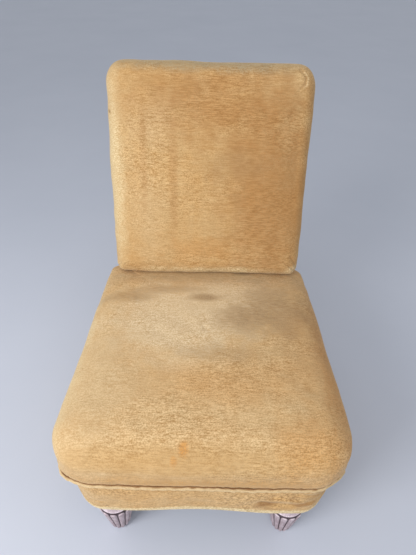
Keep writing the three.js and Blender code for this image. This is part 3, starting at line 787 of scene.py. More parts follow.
@dataclass(frozen=True)
class Velour:
    """Worn cotton velour: a short nap in rows across the chair, worn pale, pressed dark and smudged, with
    painted highlights and painted shade laid over it.
    """

    marks: tuple[Mark, ...] = ()
    cloth: Colour = GOLD
    highlight_wash: float = 0.0
    row_scale: Triple = (55.0, 420.0, 420.0)
    pile_scale: Triple = (300.0, 520.0, 520.0)
    speckle_scale: float = 900.0
    edge_scale: float = 26.0
    valley: Colour = (0.66, 0.57, 0.44)
    crest: Colour = (1.21, 1.26, 1.34)
    row_part: float = 0.42
    speckle_part: float = 0.6
    mark_fade: float = 0.75
    mark_wobble: float = 1.1
    painted_light_strength: float = 0.85
    painted_shade_strength: float = 0.8
    nap_height: float = 0.0004
    sheen: float = 0.3

    def material(self, name: str) -> bpy.types.Material:
        """Builds the material.

        Args:
            name: The material's name.

        Returns:
            The material.
        """
        painter = Painter(name)
        rows = painter.step(painter.grain(Grain(self.row_scale, 1.0, 0.5)), 0.34, 0.66)
        pile = painter.step(painter.grain(Grain(self.pile_scale, 1.5, 0.6)), 0.36, 0.64)
        speckle = painter.noise(self.speckle_scale, 1.0, 0.5)
        worn = painter.step(painter.grain(WORN_AREAS), 0.40, 0.60)
        colour = painter.mix(self.highlight_wash, self._cloth_colour(painter, pile), PALE)
        wobble = (painter.noise(self.edge_scale, 3.0, 0.6) - 0.5) * self.mark_wobble
        strength = (1.0 - worn * 0.5) * (1.0 - self.highlight_wash)
        for mark in self.marks:
            spot = painter.patch(mark.centre, mark.radii, self.mark_fade, wobble)
            colour = painter.mix(spot * mark.strength * (0.6 + pile * 0.8), colour, mark.colour)
            if mark.bare:
                strength = strength * (1.0 - spot * mark.bare)
        # Painted highlight: the pale attribute mixes in a highlight colour on the band's rolled edge and
        # along one fold of the back
        colour = painter.mix(painter.attribute("pale") * self.painted_light_strength, colour, HIGHLIGHT_CREAM)
        # Painted shade: the seam attribute darkens the crevice at the seam, the piping's upper inner side,
        # the cloth under the piping and over the roll, and the pleats of the back
        colour = painter.mix(painter.attribute("seam").least(1.0) * self.painted_shade_strength, colour, SHADE)
        nap = rows * self.row_part + pile * (1.0 - self.row_part)
        grain = (nap - 0.5) * strength + (speckle - 0.5) * self.speckle_part + 0.5
        colour = painter.mix(1.0, colour, painter.mix(grain, self.valley, self.crest), "MULTIPLY")
        height = rows * 0.3 + pile * 0.5 + speckle * 0.2
        return painter.finish(
            {
                "Base Color": colour,
                "Roughness": 0.8 + speckle * 0.15,
                "Sheen Weight": self.sheen,
                "Sheen Roughness": 0.4,
                "Sheen Tint": linear(255, 238, 205),
                "Specular IOR Level": 0.2,
                "Normal": painter.bump(height, self.nap_height, 0.8),
            }
        )

    def _cloth_colour(self, painter: Painter, pile: Flow) -> Flow:
        """Gold that turns paler and deeper in soft blotches and along upright bands.

        Args:
            painter: The material's nodes.
            pile: How high the pile stands, 0 to 1.

        Returns:
            The colour.
        """
        large = painter.grain(BLOTCHES) * 0.45 + painter.grain(UPRIGHT_BANDS) * 0.30
        tone = painter.step(large + painter.grain(SMALL_BLOTCHES) * 0.25, 0.34, 0.66)
        deep = painter.mix(0.34 - pile * 0.16, self.cloth, ORANGE)
        return painter.mix(tone, deep, painter.mix(0.30, self.cloth, PALE))


VELOURS = {
    Nap.SEAT: Velour(
        SEAT_MARKS,
        linear(215, 182, 134),
        row_scale=(60.0, 420.0, 280.0),
        pile_scale=(330.0, 460.0, 280.0),
    ),
    Nap.BACK: Velour(BACK_MARKS),
    Nap.BAND: Velour(
        BAND_MARKS,
        linear(208, 168, 112),
        row_scale=(70.0, 420.0, 190.0),
        pile_scale=(240.0, 380.0, 210.0),
        valley=(0.56, 0.46, 0.33),
        crest=(1.30, 1.36, 1.44),
    ),
    # The piping is drawn pale all round as a painted highlight along its cord
    Nap.PIPING: Velour(cloth=HIGHLIGHT_CREAM, highlight_wash=0.6),
    Nap.PLAIN: Velour(),
}


def velour(nap: Nap) -> bpy.types.Material:
    """The velour of one part of the chair."""
    return VELOURS[nap].material(f"velour_{nap.value}")


@dataclass(frozen=True)
class LimedWood:
    """Carved wood with pale wax in its grain and dark pores, a painted highlight on its crests and painted
    shade in its hollows.
    """

    wood: Colour = linear(168, 147, 152)
    wax: Colour = linear(214, 198, 203)
    stain_and_shade: Colour = linear(62, 44, 52)
    crest_highlight: Colour = linear(244, 226, 232)
    raw: Colour = linear(196, 158, 112)

    def material(self, name: str) -> bpy.types.Material:
        """Builds the material.

        Args:
            name: The material's name.

        Returns:
            The material.
        """
        painter = Painter(name)
        grain = painter.grain(Grain((260.0, 260.0, 22.0), 4.0, 0.6))
        patchy = painter.grain(Grain((45.0, 45.0, 30.0), 3.0, 0.6))
        pores = painter.step(painter.grain(Grain((620.0, 620.0, 60.0))), 0.62, 0.72)
        waxed = painter.step(grain * 0.55 + patchy * 0.45, 0.44, 0.60)
        colour = painter.mix(waxed * 0.6, self.wood, self.wax)
        # Painted highlight on the reeds' rounded tops and the collar's beads, stronger where the wax lies
        colour = painter.mix(painter.attribute("crest") * (0.55 + waxed * 0.4), colour, self.crest_highlight)
        # Painted shade in the recesses between the reeds and in the collar's groove
        hollow = painter.attribute("hollow")
        colour = painter.mix(painter.step(hollow, 0.30, 0.80) * 0.95, colour, self.stain_and_shade)
        colour = painter.mix(pores * 0.45, colour, self.stain_and_shade)
        colour = painter.mix(painter.attribute("raw"), colour, self.raw)
        return painter.finish(
            {
                "Base Color": colour,
                "Roughness": 0.48 + hollow * 0.25 + pores * 0.1,
                "Normal": painter.bump(grain - pores * 0.7, 0.0006, 0.7),
            }
        )


@dataclass(frozen=True)
class PlainWood:
    """Sawn beech with a fine flecked grain along one axis."""

    grain_scale: Triple
    light: Colour = linear(201, 160, 114)
    dark: Colour = linear(156, 112, 72)
    fleck_fineness: float = 3.0

    def material(self, name: str) -> bpy.types.Material:
        """Builds the material.

        Args:
            name: The material's name.

        Returns:
            The material.
        """
        painter = Painter(name)
        grain = painter.grain(Grain(self.grain_scale, 5.0, 0.6))
        flecks = Grain(tuple(self.fleck_fineness * part for part in self.grain_scale))
        fleck = painter.step(painter.grain(flecks), 0.6, 0.7)
        colour = painter.mix(painter.step(grain, 0.35, 0.65), self.light, self.dark)
        colour = painter.mix(fleck * 0.4, colour, self.dark)
        return painter.finish(
            {"Base Color": colour, "Roughness": 0.62 + grain * 0.15, "Normal": painter.bump(grain, 0.0005)}
        )


@dataclass(frozen=True)
class Weave:
    """A plain weave whose threads lie along two axes, such as webbing, canvas or lining."""

    light: Colour
    dark: Colour
    thread: float
    lie: Triple = (1.0, 1.0, 0.0)

    def material(self, name: str) -> bpy.types.Material:
        """Builds the material.

        Args:
            name: The material's name.

        Returns:
            The material.
        """
        painter = Painter(name)
        first, second, third = self._waves(painter)
        weave = (first * second + second * third + third * first) * 0.5 + 0.5
        uneven = painter.grain(Grain((70.0, 70.0, 70.0), 3.0, 0.6))
        tone = painter.step(weave * 0.55 + uneven * 0.45, 0.2, 0.8)
        return painter.finish(
            {
                "Base Color": painter.mix(tone, self.dark, self.light),
                "Roughness": 0.85 + uneven * 0.1,
                "Sheen Weight": 0.15,
                "Normal": painter.bump(weave, self.thread * 0.3),
            }
        )

    def _waves(self, painter: Painter) -> list[Flow]:
        """The waves of the threads along each axis, between -1 and 1.

        Args:
            painter: The material's nodes.

        Returns:
            One wave along each axis.
        """
        place = painter.scaled(tuple(TURN / self.thread * part for part in self.lie))
        parts = [painter.node("ShaderNodeSeparateXYZ", inputs={0: place}, output=axis) for axis in range(3)]
        return [painter.node("ShaderNodeMath", {"operation": "SINE"}, {0: part}) for part in parts]


@dataclass(frozen=True)
class Fibre:
    """Teased hair and fibre: tangled strands in two browns."""

    light: Colour = linear(158, 130, 92)
    dark: Colour = linear(92, 70, 46)

    def material(self, name: str) -> bpy.types.Material:
        """Builds the material.

        Args:
            name: The material's name.

        Returns:
            The material.
        """
        painter = Painter(name)
        tangle = painter.noise(180.0, 5.0, 0.75)
        strand = painter.grain(Grain((900.0, 60.0, 200.0), 3.0, 0.6))
        tone = painter.step(tangle * 0.6 + strand * 0.4, 0.38, 0.62)
        return painter.finish(
            {
                "Base Color": painter.mix(tone, self.dark, self.light),
                "Roughness": 0.9 + strand * 0.1,
                "Normal": painter.bump(tangle, 0.003),
            }
        )


@dataclass(frozen=True)
class Metal:
    """Plated or drawn metal that has dulled in places."""

    bright: Colour
    dull: Colour
    roughness: float

    def material(self, name: str) -> bpy.types.Material:
        """Builds the material.

        Args:
            name: The material's name.

        Returns:
            The material.
        """
        painter = Painter(name)
        dulled = painter.step(painter.noise(120.0, 4.0, 0.65), 0.45, 0.68)
        scratch = painter.grain(Grain((700.0, 90.0, 700.0)))
        return painter.finish(
            {
                "Base Color": painter.mix(dulled, self.bright, self.dull),
                "Metallic": 1.0 - dulled * 0.35,
                "Roughness": self.roughness + dulled * 0.3 + scratch * 0.08,
                "Normal": painter.bump(scratch, 0.0002, 0.5),
            }
        )


# Frames of reference


@dataclass(frozen=True)
class SeatPlan:
    """The seat from above: a rectangle with round corners, narrower at the back and bowed in front."""

    front: float
    depth: float
    front_half_width: float = 0.288
    rear_half_width: float = 0.263
    front_corner: float = 0.083
    rear_corner: float = 0.040
    front_bow: float = 0.006

    @property
    def middle(self) -> float:
        """y of the middle of the plan."""
        return self.front + self.depth / 2.0

    def ring(self, inset: Array, share: Array) -> tuple[Array, Array]:
        """Places on the seat's outline.

        Args:
            inset: How far in from the outline.
            share: Place along it, 0 to 1, counter-clockwise from the middle of the front.

        Returns:
            x and y.
        """
        size, corners = (self.front_half_width, self.depth), (self.front_corner, self.rear_corner)
        x, along = inset_outline(share, inset, size, corners, stretch_breaks(*size, *corners))
        return self.drawn_in(x, along)

    def drawn_in(self, x: Array, along: Array) -> tuple[Array, Array]:
        """Narrows the plan towards the back and bows its front edge.

        Args:
            x: Places across the straight rectangle.
            along: Places behind its front edge.

        Returns:
            x and y.
        """
        narrowing = 1.0 - self.rear_half_width / self.front_half_width
        ahead = 1.0 - along / self.depth
        bow = self.front_bow * (x / self.front_half_width) ** 2 * ahead**2
        return x * (1.0 - narrowing * along / self.depth), self.front + along + bow


@dataclass(frozen=True)
class BackFrame:
    """The sloping frame of the back: x across, v up the slope from its foot, w in from its face."""

    foot_y: float
    foot_z: float
    height: float = 0.511
    half_width: float = 0.243
    top_half_width: float = 0.240
    thickness: float = 0.090
    slope: float = math.radians(17.0)
    top_corner: float = 0.046
    foot_corner: float = 0.026
    foot_rear_corner: float = 0.012

    @property
    def middle(self) -> float:
        """How far up the slope the middle of the back lies."""
        return self.height / 2.0

    def place(self, x: Values, v: Values, w: Values) -> Array:
        """Points in the chair's frame."""
        spread = 1.0 + (self.top_half_width / self.half_width - 1.0) * v / self.height
        return joined(x * spread, *self.on_slope(v, w))

    def on_slope(self, v: Values, w: Values) -> tuple[Values, Values]:
        """y and z of places up the slope and into the back."""
        sine, cosine = math.sin(self.slope), math.cos(self.slope)
        return self.foot_y + v * sine + w * cosine, self.foot_z + v * cosine - w * sine

    def v_at(self, y: float, w: float) -> float:
        """How far up the slope a plane inside the back reaches y."""
        return (y - self.foot_y - w * math.cos(self.slope)) / math.sin(self.slope)

    def slopes(self, points: Array) -> tuple[Array, Array, Array]:
        """x, v and w of points in the back's own frame.

        Args:
            points: Points in the chair's frame.

        Returns:
            x, v and w of each point.
        """
        y, z = points[..., 1] - self.foot_y, points[..., 2] - self.foot_z
        sine, cosine = math.sin(self.slope), math.cos(self.slope)
        return points[..., 0], y * sine + z * cosine, y * cosine - z * sine

    def ring(self, inset: Array, share: Array, foot_corner: Values) -> tuple[Array, Array]:
        """x and v of places on the back's outline, counter-clockwise from the middle of its foot.

        Args:
            inset: How far in from the outline.
            share: Place along it, 0 to 1.
            foot_corner: Radius of the two corners at the foot.

        Returns:
            x and v.
        """
        size = (self.half_width, self.height)
        breaks = stretch_breaks(*size, self.foot_corner, self.top_corner)
        return inset_outline(share, inset, size, (foot_corner, self.top_corner), breaks)


@dataclass(frozen=True)
class Arch:
    """The arch cut into the lower edge at the front."""

    front: float
    rise: float = 0.019
    half_span: float = 0.16994
    fade_start: float = 0.044
    fade_end: float = 0.134

    def lift(self, x: Array, y: Array) -> Array:
        """How far the underside lies above its level: half a cosine wave that fades out behind the front.

        Args:
            x: Places across.
            y: Places along.

        Returns:
            The height at each place.
        """
        across = np.minimum(np.abs(x) / self.half_span, 1.0)
        arch = self.rise * (1.0 + np.cos(math.pi * across)) / 2.0
        return arch * (1.0 - smooth_step(self.fade_start, self.fade_end, y - self.front))


@dataclass(frozen=True)
class Seam:
    """The drawn seam between pad and band: how it wanders, where its front corners hang out, and how strongly
    the painted shade and highlight along it show.
    """

    wander: Ripple = Ripple(0.0011, 4, 17, 6, 11)
    stitches: Ripple = Ripple(0.00035, 70, 150, 8, 12)
    uneven: Ripple = Ripple(0.00045, 45, 130, 10, 13)
    left_share: float = 0.872
    left_spread: float = 0.015
    left_push: float = 0.0105
    left_drop: float = 0.007
    right_share: float = 0.131
    right_spread: float = 0.011
    right_push: float = 0.008
    front_lift: float = 0.007
    front_spread: float = 0.12
    front_tuck: float = 0.003
    tuck_spread: float = 0.09
    painted_light_end: float = 0.14
    painted_light_fade: float = 0.06
    side_painted_light: float = 0.35

    def along_front(self, share: Array) -> Array:
        """Distance along the outline from the middle of the front, to either side."""
        return np.minimum(share, 1.0 - share)

    def rise(self, share: Array) -> Array:
        """How far the seam lies above its level.

        Args:
            share: Place along the outline, 0 to 1.

        Returns:
            The height at each place.
        """
        lifted = self.front_lift * bell(self.along_front(share), 0.0, self.front_spread)
        hung = self.left_drop * bell(share, self.left_share, self.left_spread)
        return self.wander.at(share) + self.stitches.at(share) + lifted - hung

    def push(self, share: Array) -> Array:
        """How far the piping stands out past its line, most of all at the front corners.

        Args:
            share: Place along the outline, 0 to 1.

        Returns:
            The distance at each place.
        """
        left = self.left_push * bell(share, self.left_share, self.left_spread)
        right = self.right_push * bell(share, self.right_share, self.right_spread)
        return left + right + self.uneven.at(share)

    def tuck(self, share: Array) -> Array:
        """How far the foot of the pad is drawn in between the corners of the front."""
        return self.front_tuck * bell(self.along_front(share), 0.0, self.tuck_spread)

    def painted_light_strength(self, share: Array) -> Array:
        """How strongly the painted shade along the seam and the painted highlight on the band's roll show:
        wholly at the front, little elsewhere.
        """
        side = smooth_step(self.painted_light_end, self.painted_light_end + self.painted_light_fade, self.along_front(share))
        return 1.0 - (1.0 - self.side_painted_light) * side


class Slot(Enum):
    """The record's material slots that the scene's own pieces use."""

    VELOUR = "velour"
    LIMED_WOOD = "limed_wood"
    NICKEL = "nickel"
    BLACK_COTTON = "black_cotton"


def dressed(
    skin: Skin, name: str, material: bpy.types.Material, stands_for: tuple[str, ...]
) -> bpy.types.Object:
    """Builds a piece and sets it into the chair.

    Args:
        skin: Its surface.
        name: Its name.
        material: Its finish.
        stands_for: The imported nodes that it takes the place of.

    Returns:
        The piece.
    """
    piece = skin.build(name)
    piece.data.materials.append(material)
    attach(piece, BODY)
    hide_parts(*stands_for)
    LOG.info("%s: %d points, stands for %s", name, len(piece.data.vertices), ", ".join(stands_for))
    return piece


# Seat


@dataclass
class SeatPad:
    """The crowned seat pad, sewn down at its seam."""

    plan: SeatPlan
    seam: Seam
    foot: float
    seat_depth: float = 0.513
    lower_height: float = 0.068
    upper_height: float = 0.042
    back_drop: float = 0.011
    overhang: float = 0.014
    fullness: float = 1.45
    shoulder: float = 0.058
    least_rise: float = 0.013
    crown: float = 0.011
    back_gap: float = 0.0015
    blend: float = 0.005
    tuck: float = 0.007
    tuck_inset: float = 0.014
    crevice: float = 0.004
    crevice_height: float = 0.005
    seam_width: float = 0.0080
    sewn_height: float = 0.003
    top_margin: float = 0.04
    gathers: Ripple = Ripple(0.0010, 60, 120, 8, 21)
    gather_fade: float = 0.011
    gather_foot: float = 0.002
    softness: tuple[Undulation, Undulation] = (
        Undulation(0.0011, 0.16, 12, 22),
        Undulation(0.0005, 0.05, 14, 23),
    )
    soft_from: float = 0.03
    slip_fade: float = 0.022
    follow: float = 0.8
    follow_fade: float = 0.030
    columns: int = 640
    edge_rows: int = 5
    row_counts: tuple[int, int, int, int] = (12, 34, 24, 34)
    floor_pole: float = 0.08
    swelling: Swelling = Swelling(reach=0.004)

    @property
    def level(self) -> float:
        """Height of the pad's top without its crown."""
        return self.foot + self.lower_height + self.upper_height

    @property
    def back(self) -> BackFrame:
        """The frame of the back, whose foot is sunk a little behind the seat's top."""
        return BackFrame(self.plan.front + self.seat_depth, self.level - self.back_drop)

    def top(self, x: Values, y: Values) -> Values:
        """Height of the pad's top: a low crown, which dips to pass under the foot of the back.

        Args:
            x: Places across.
            y: Places along.

        Returns:
            The height at each place.
        """
        across = x / self.plan.front_half_width
        along = (y - self.plan.front - self.seat_depth / 2.0) / self.plan.depth
        crown = self.crown * np.maximum(0.0, 1.0 - across**2) * (1.0 - 4.0 * along**2)
        behind = y - self.plan.front - self.seat_depth
        under_back = self.back.foot_z - self.back_gap - behind * math.tan(self.back.slope)
        return smooth_least(self.level + crown, under_back, self.blend)

    def widest(self, x: Array, y: Array) -> Array:
        """Height of the pad's widest line."""
        return np.minimum(self.foot + self.lower_height, self.top(x, y) - self.least_rise)

    def base(self) -> Skin:
        """The pad before it swells: underside, side below and above the widest line, and top.

        Returns:
            The skin, its rows counted from the middle of the underside.
        """
        under, lower, upper, over = self.row_counts
        share = shares(self.columns)
        middle = self.plan.middle

        # The underside, and its edge turned up to the seam
        bottom = self.foot - self.tuck
        fall = np.linspace(0.0, 1.0, self.edge_rows)[:-1, None]
        x, y = self.plan.ring(self.overhang + self.crevice + self.tuck_inset * (1.0 - fall), share)
        edge = joined(x, y, bottom + self.tuck * fall**2)
        grow = np.linspace(self.floor_pole, 1.0, under)[:-1, None]
        floor_rows = joined(*towards_middle(x[:1], y[:1], middle, grow), bottom)

        # From the seam, out of its crevice, to the widest line
        angle = np.linspace(QUARTER, 0.0, lower)[:-1, None]
        near = np.clip(1.0 - (1.0 - np.sin(angle)) * self.lower_height / self.crevice_height, 0.0, 1.0)
        inset = self.overhang * (1.0 - np.cos(angle)) ** self.fullness + self.crevice * near**2
        x, y = self.plan.ring(inset, share)
        widest = self.widest(x, y)
        lower_rows = joined(x, y, widest - (widest - self.foot) * np.sin(angle))

        # Over the shoulder
        angle = np.linspace(0.0, QUARTER, upper)[:, None]
        x, y = self.plan.ring(self.shoulder * (1.0 - np.cos(angle)), share)
        widest = self.widest(x, y)
        upper_rows = joined(x, y, widest + (self.top(x, y) - widest) * np.sin(angle))

        # Across the top to its middle
        shrink = np.linspace(1.0, POLE_SHARE, over)[1:, None]
        x, y = towards_middle(x[-1:], y[-1:], middle, shrink)
        top_rows = joined(x, y, self.top(x, y))
        points = np.concatenate([floor_rows, edge, lower_rows, upper_rows, top_rows])
        peak = float(self.top(0.0, middle))
        return Skin(points, np.array([0.0, middle, bottom]), np.array([0.0, middle, peak]))

    def build(self, material: bpy.types.Material) -> bpy.types.Object:
        """Swells the pad, gathers its seam and sets it into the chair.

        Args:
            material: The seat's velour.

        Returns:
            The piece.
        """
        skin = self.base()
        share = shares(self.columns)
        height = skin.points[..., 2] - self.foot
        side = skin.points[..., 2] < self.top(skin.points[..., 0], skin.points[..., 1]) - self.top_margin
        skin.points += self.swelling.moved(skin, np.where(height < self.sewn_height, 1.0, 0.0))
        above = np.maximum(height, 0.0)
        low = np.exp(-above / self.gather_fade) * (height > -self.gather_foot)
        soft = sum(wave.at(skin.points) for wave in self.softness) * smooth_step(0.0, self.soft_from, height)
        gathers = -np.abs(self.gathers.at(share)) * low
        skin.points += grid_normals(skin.points) * (gathers + soft)[..., None]
        self._slip(skin.points, share, above, side)
        # Painted shade along the foot of the pad, in the crevice over the piping
        skin.values["seam"] = np.exp(-((above / self.seam_width) ** 2)) * self.seam.painted_light_strength(share)
        pad = dressed(skin, "seat_pad", material, ("seat_cover", "seat_stuffing"))
        return pad

    def _slip(self, points: Array, share: Array, above: Array, side: Array) -> None:
        """Moves the seam along its wandering line, and lets the left front corner hang over it.

        Args:
            points: The pad's points, which are moved.
            share: Place along the outline, 0 to 1.
            above: How high each point lies above the seam.
            side: True where a point belongs to the side and not to the top.
        """
        points[..., 2] += self.seam.rise(share) * np.exp(-above / self.slip_fade)
        outward = grid_normals(points)[..., :2] * side[..., None]
        reach = self.follow * self.seam.push(share) - self.seam.tuck(share)
        reach = reach * np.exp(-((above / self.follow_fade) ** 2))
        points[..., :2] += outward * reach[..., None]


@dataclass
class SeatPiping:
    """The self-covered cord sewn into the seam under the pad, with the flange that the stitches hold."""

    plan: SeatPlan
    seam: Seam
    height: float
    inset: float = 0.0085
    radius: float = 0.0045
    thinning: Ripple = Ripple(0.07, 90, 170, 6, 31)
    flange_reach: float = 0.013
    flange_thickness: float = 0.0010
    open_angle: float = math.radians(158.0)
    shade_angles: Pair = (1.0, 1.35)
    shade_wander: Ripple = Ripple(0.16, 40, 120, 8, 32)
    columns: int = 720
    sides: int = 14

    def build(self, material: bpy.types.Material) -> bpy.types.Object:
        """A round section with a thin tail, carried along the seam, a little thinner between its stitches.

        Args:
            material: The piping's velour.

        Returns:
            The piece.
        """
        share = shares(self.columns)
        angle = np.linspace(-self.open_angle, self.open_angle, self.sides)[:, None]
        thickness = self.radius * (1.0 + self.thinning.at(share))
        cord = self.inset - self.seam.push(share) - thickness * np.cos(angle)
        tail = np.full((2, self.columns), self.inset + self.flange_reach)
        x, y = self.plan.ring(np.concatenate([cord, tail]), share)
        flange = np.full_like(tail, self.flange_thickness / 2.0) * np.array([[1.0], [-1.0]])
        z = self.height + self.seam.rise(share) + np.concatenate([thickness * np.sin(angle), flange])
        dark = smooth_step(*self.shade_angles, angle + self.shade_wander.at(share)) * self.seam.painted_light_strength(share)
        skin = Skin(joined(x, y, z), values={"seam": np.concatenate([dark, np.ones_like(tail)])})
        return dressed(skin, "seat_seam_piping", material, ("seat_piping",))


@dataclass
class SeatBand:
    """The cloth band round the frame, with a rolled lower edge that follows the front arch.

    A pull is a hollow in the cloth, or a ridge where its depth is negative: it has a depth, a width and a
    line in x and height. What is given in rolls is a number of times the roll's height.
    """

    plan: SeatPlan
    arch: Arch
    seam: Seam
    foot: float
    top: float
    top_inset: float = 0.012
    foot_inset: float = 0.018
    inset_span: Pair = (0.0, 0.9)
    thickness: float = 0.008
    belly: float = 0.002
    roll: float = 0.009
    groove: float = 0.0014
    groove_rolls: float = 2.5
    groove_width: float = 0.0025
    pulls: tuple[tuple[float, float, Line], ...] = (
        (0.0030, 0.0100, ((0.120, 0.062), (0.160, 0.052), (0.185, 0.050))),
        (0.0026, 0.0080, ((0.205, 0.060), (0.240, 0.064), (0.262, 0.078))),
        (-0.0020, 0.0070, ((0.150, 0.084), (0.195, 0.070), (0.225, 0.050))),
        (0.0018, 0.0060, ((0.190, 0.108), (0.235, 0.096), (0.265, 0.100))),
        (0.0016, 0.0060, ((-0.262, 0.084), (-0.230, 0.060), (-0.200, 0.050))),
    )
    pull_reach: float = 0.06
    softness: tuple[Undulation, Undulation] = (
        Undulation(0.0009, 0.10, 12, 41),
        Undulation(0.0004, 0.03, 12, 42),
    )
    edge_fade: float = 0.02
    gathers: Ripple = Ripple(0.0006, 60, 120, 8, 43)
    gather_fade: float = 0.012
    under_piping: float = 0.45
    under_piping_fade: float = 0.016
    above_roll: float = 0.3
    above_roll_rolls: float = 2.6
    above_roll_fade: float = 0.0024
    highlight_rolls: Pair = (2.0, 2.4)
    arch_span: Pair = (0.25, 0.9)
    tuck_from: float = 0.4
    rise_from: float = 0.75
    columns: int = 560
    face_rows: int = 44
    roll_rows: int = 12
    inner_rows: int = 8

    def section(self) -> tuple[Array, Array, Array]:
        """The band's section: down the outer face, round the roll at the foot and up the inner face.

        Returns:
            The inset of each point, its height above the foot, and the share of the front arch that lifts it.
        """
        tall = self.top - self.foot
        down = np.linspace(0.0, 1.0, self.face_rows)
        height = tall - (tall - self.roll) * down
        drawn_in = smooth_step(*self.inset_span, down)
        inset = self.top_inset + (self.foot_inset - self.top_inset) * drawn_in
        groove = self.groove * bell(height, self.groove_rolls * self.roll, self.groove_width)
        inset = inset - self.belly * np.sin(math.pi * down) + groove
        turn = np.linspace(0.0, math.pi, self.roll_rows)[1:-1]
        half = self.thickness / 2.0
        round_inset = self.foot_inset + half - half * np.cos(turn)
        round_height = self.roll * (1.0 - np.sin(turn))
        up = np.linspace(0.0, 1.0, self.inner_rows)
        inner_inset = self.foot_inset + self.thickness - (self.foot_inset - self.top_inset) * up
        inner_height = self.roll + (tall - self.roll) * up
        insets = np.concatenate([inset, round_inset, inner_inset])
        heights = np.concatenate([height, round_height, inner_height])
        low, high = self.arch_span
        return insets, heights, 1.0 - smooth_step(low * tall, high * tall, heights)

    def build(self, material: bpy.types.Material) -> bpy.types.Object:
        """Carries the section round the seat and pulls the cloth towards the front corners.

        Args:
            material: The band's velour.

        Returns:
            The piece.
        """
        share = shares(self.columns)
        inset, height, lifted = (part[:, None] for part in self.section())
        tall = self.top - self.foot
        drawn_in = self.seam.tuck(share) * smooth_step(self.tuck_from * tall, tall, height)
        x, y = self.plan.ring(inset + drawn_in, share)
        z = self.foot + height + lifted * self.arch.lift(x, y)
        points = joined(x, y, z + self.seam.rise(share) * smooth_step(self.rise_from * tall, tall, height))
        outside = (np.arange(len(height)) < self.face_rows)[:, None]
        face = smooth_step(0.0, self.edge_fade, height) * smooth_step(0.0, self.edge_fade, tall - height)
        soft = sum(wave.at(points) for wave in self.softness)
        pull = -sum(depth * crease(x, height, path, width) for depth, width, path in self.pulls)
        pull = pull * (y < self.plan.front + self.pull_reach)
        gathers = -np.abs(self.gathers.at(share)) * bell(height, tall, self.gather_fade)
        shift = ((soft + pull) * face + gathers) * outside
        points = points - grid_normals(points) * shift[..., None]
        painted_light_strength = self.seam.painted_light_strength(share)
        # Painted shade under the piping and in the groove above the roll, and a painted highlight on the
        # rolled lower edge
        dark = self.under_piping * bell(height, tall, self.under_piping_fade)
        dark = dark + self.above_roll * bell(height, self.above_roll_rolls * self.roll, self.above_roll_fade)
        low, high = self.highlight_rolls
        pale = 1.0 - smooth_step(low * self.roll, high * self.roll, height)
        skin = Skin(points, values={"seam": dark * painted_light_strength * outside, "pale": pale * painted_light_strength})
        band = dressed(skin, "seat_band", material, ("seat_border",))
        return band


# Back


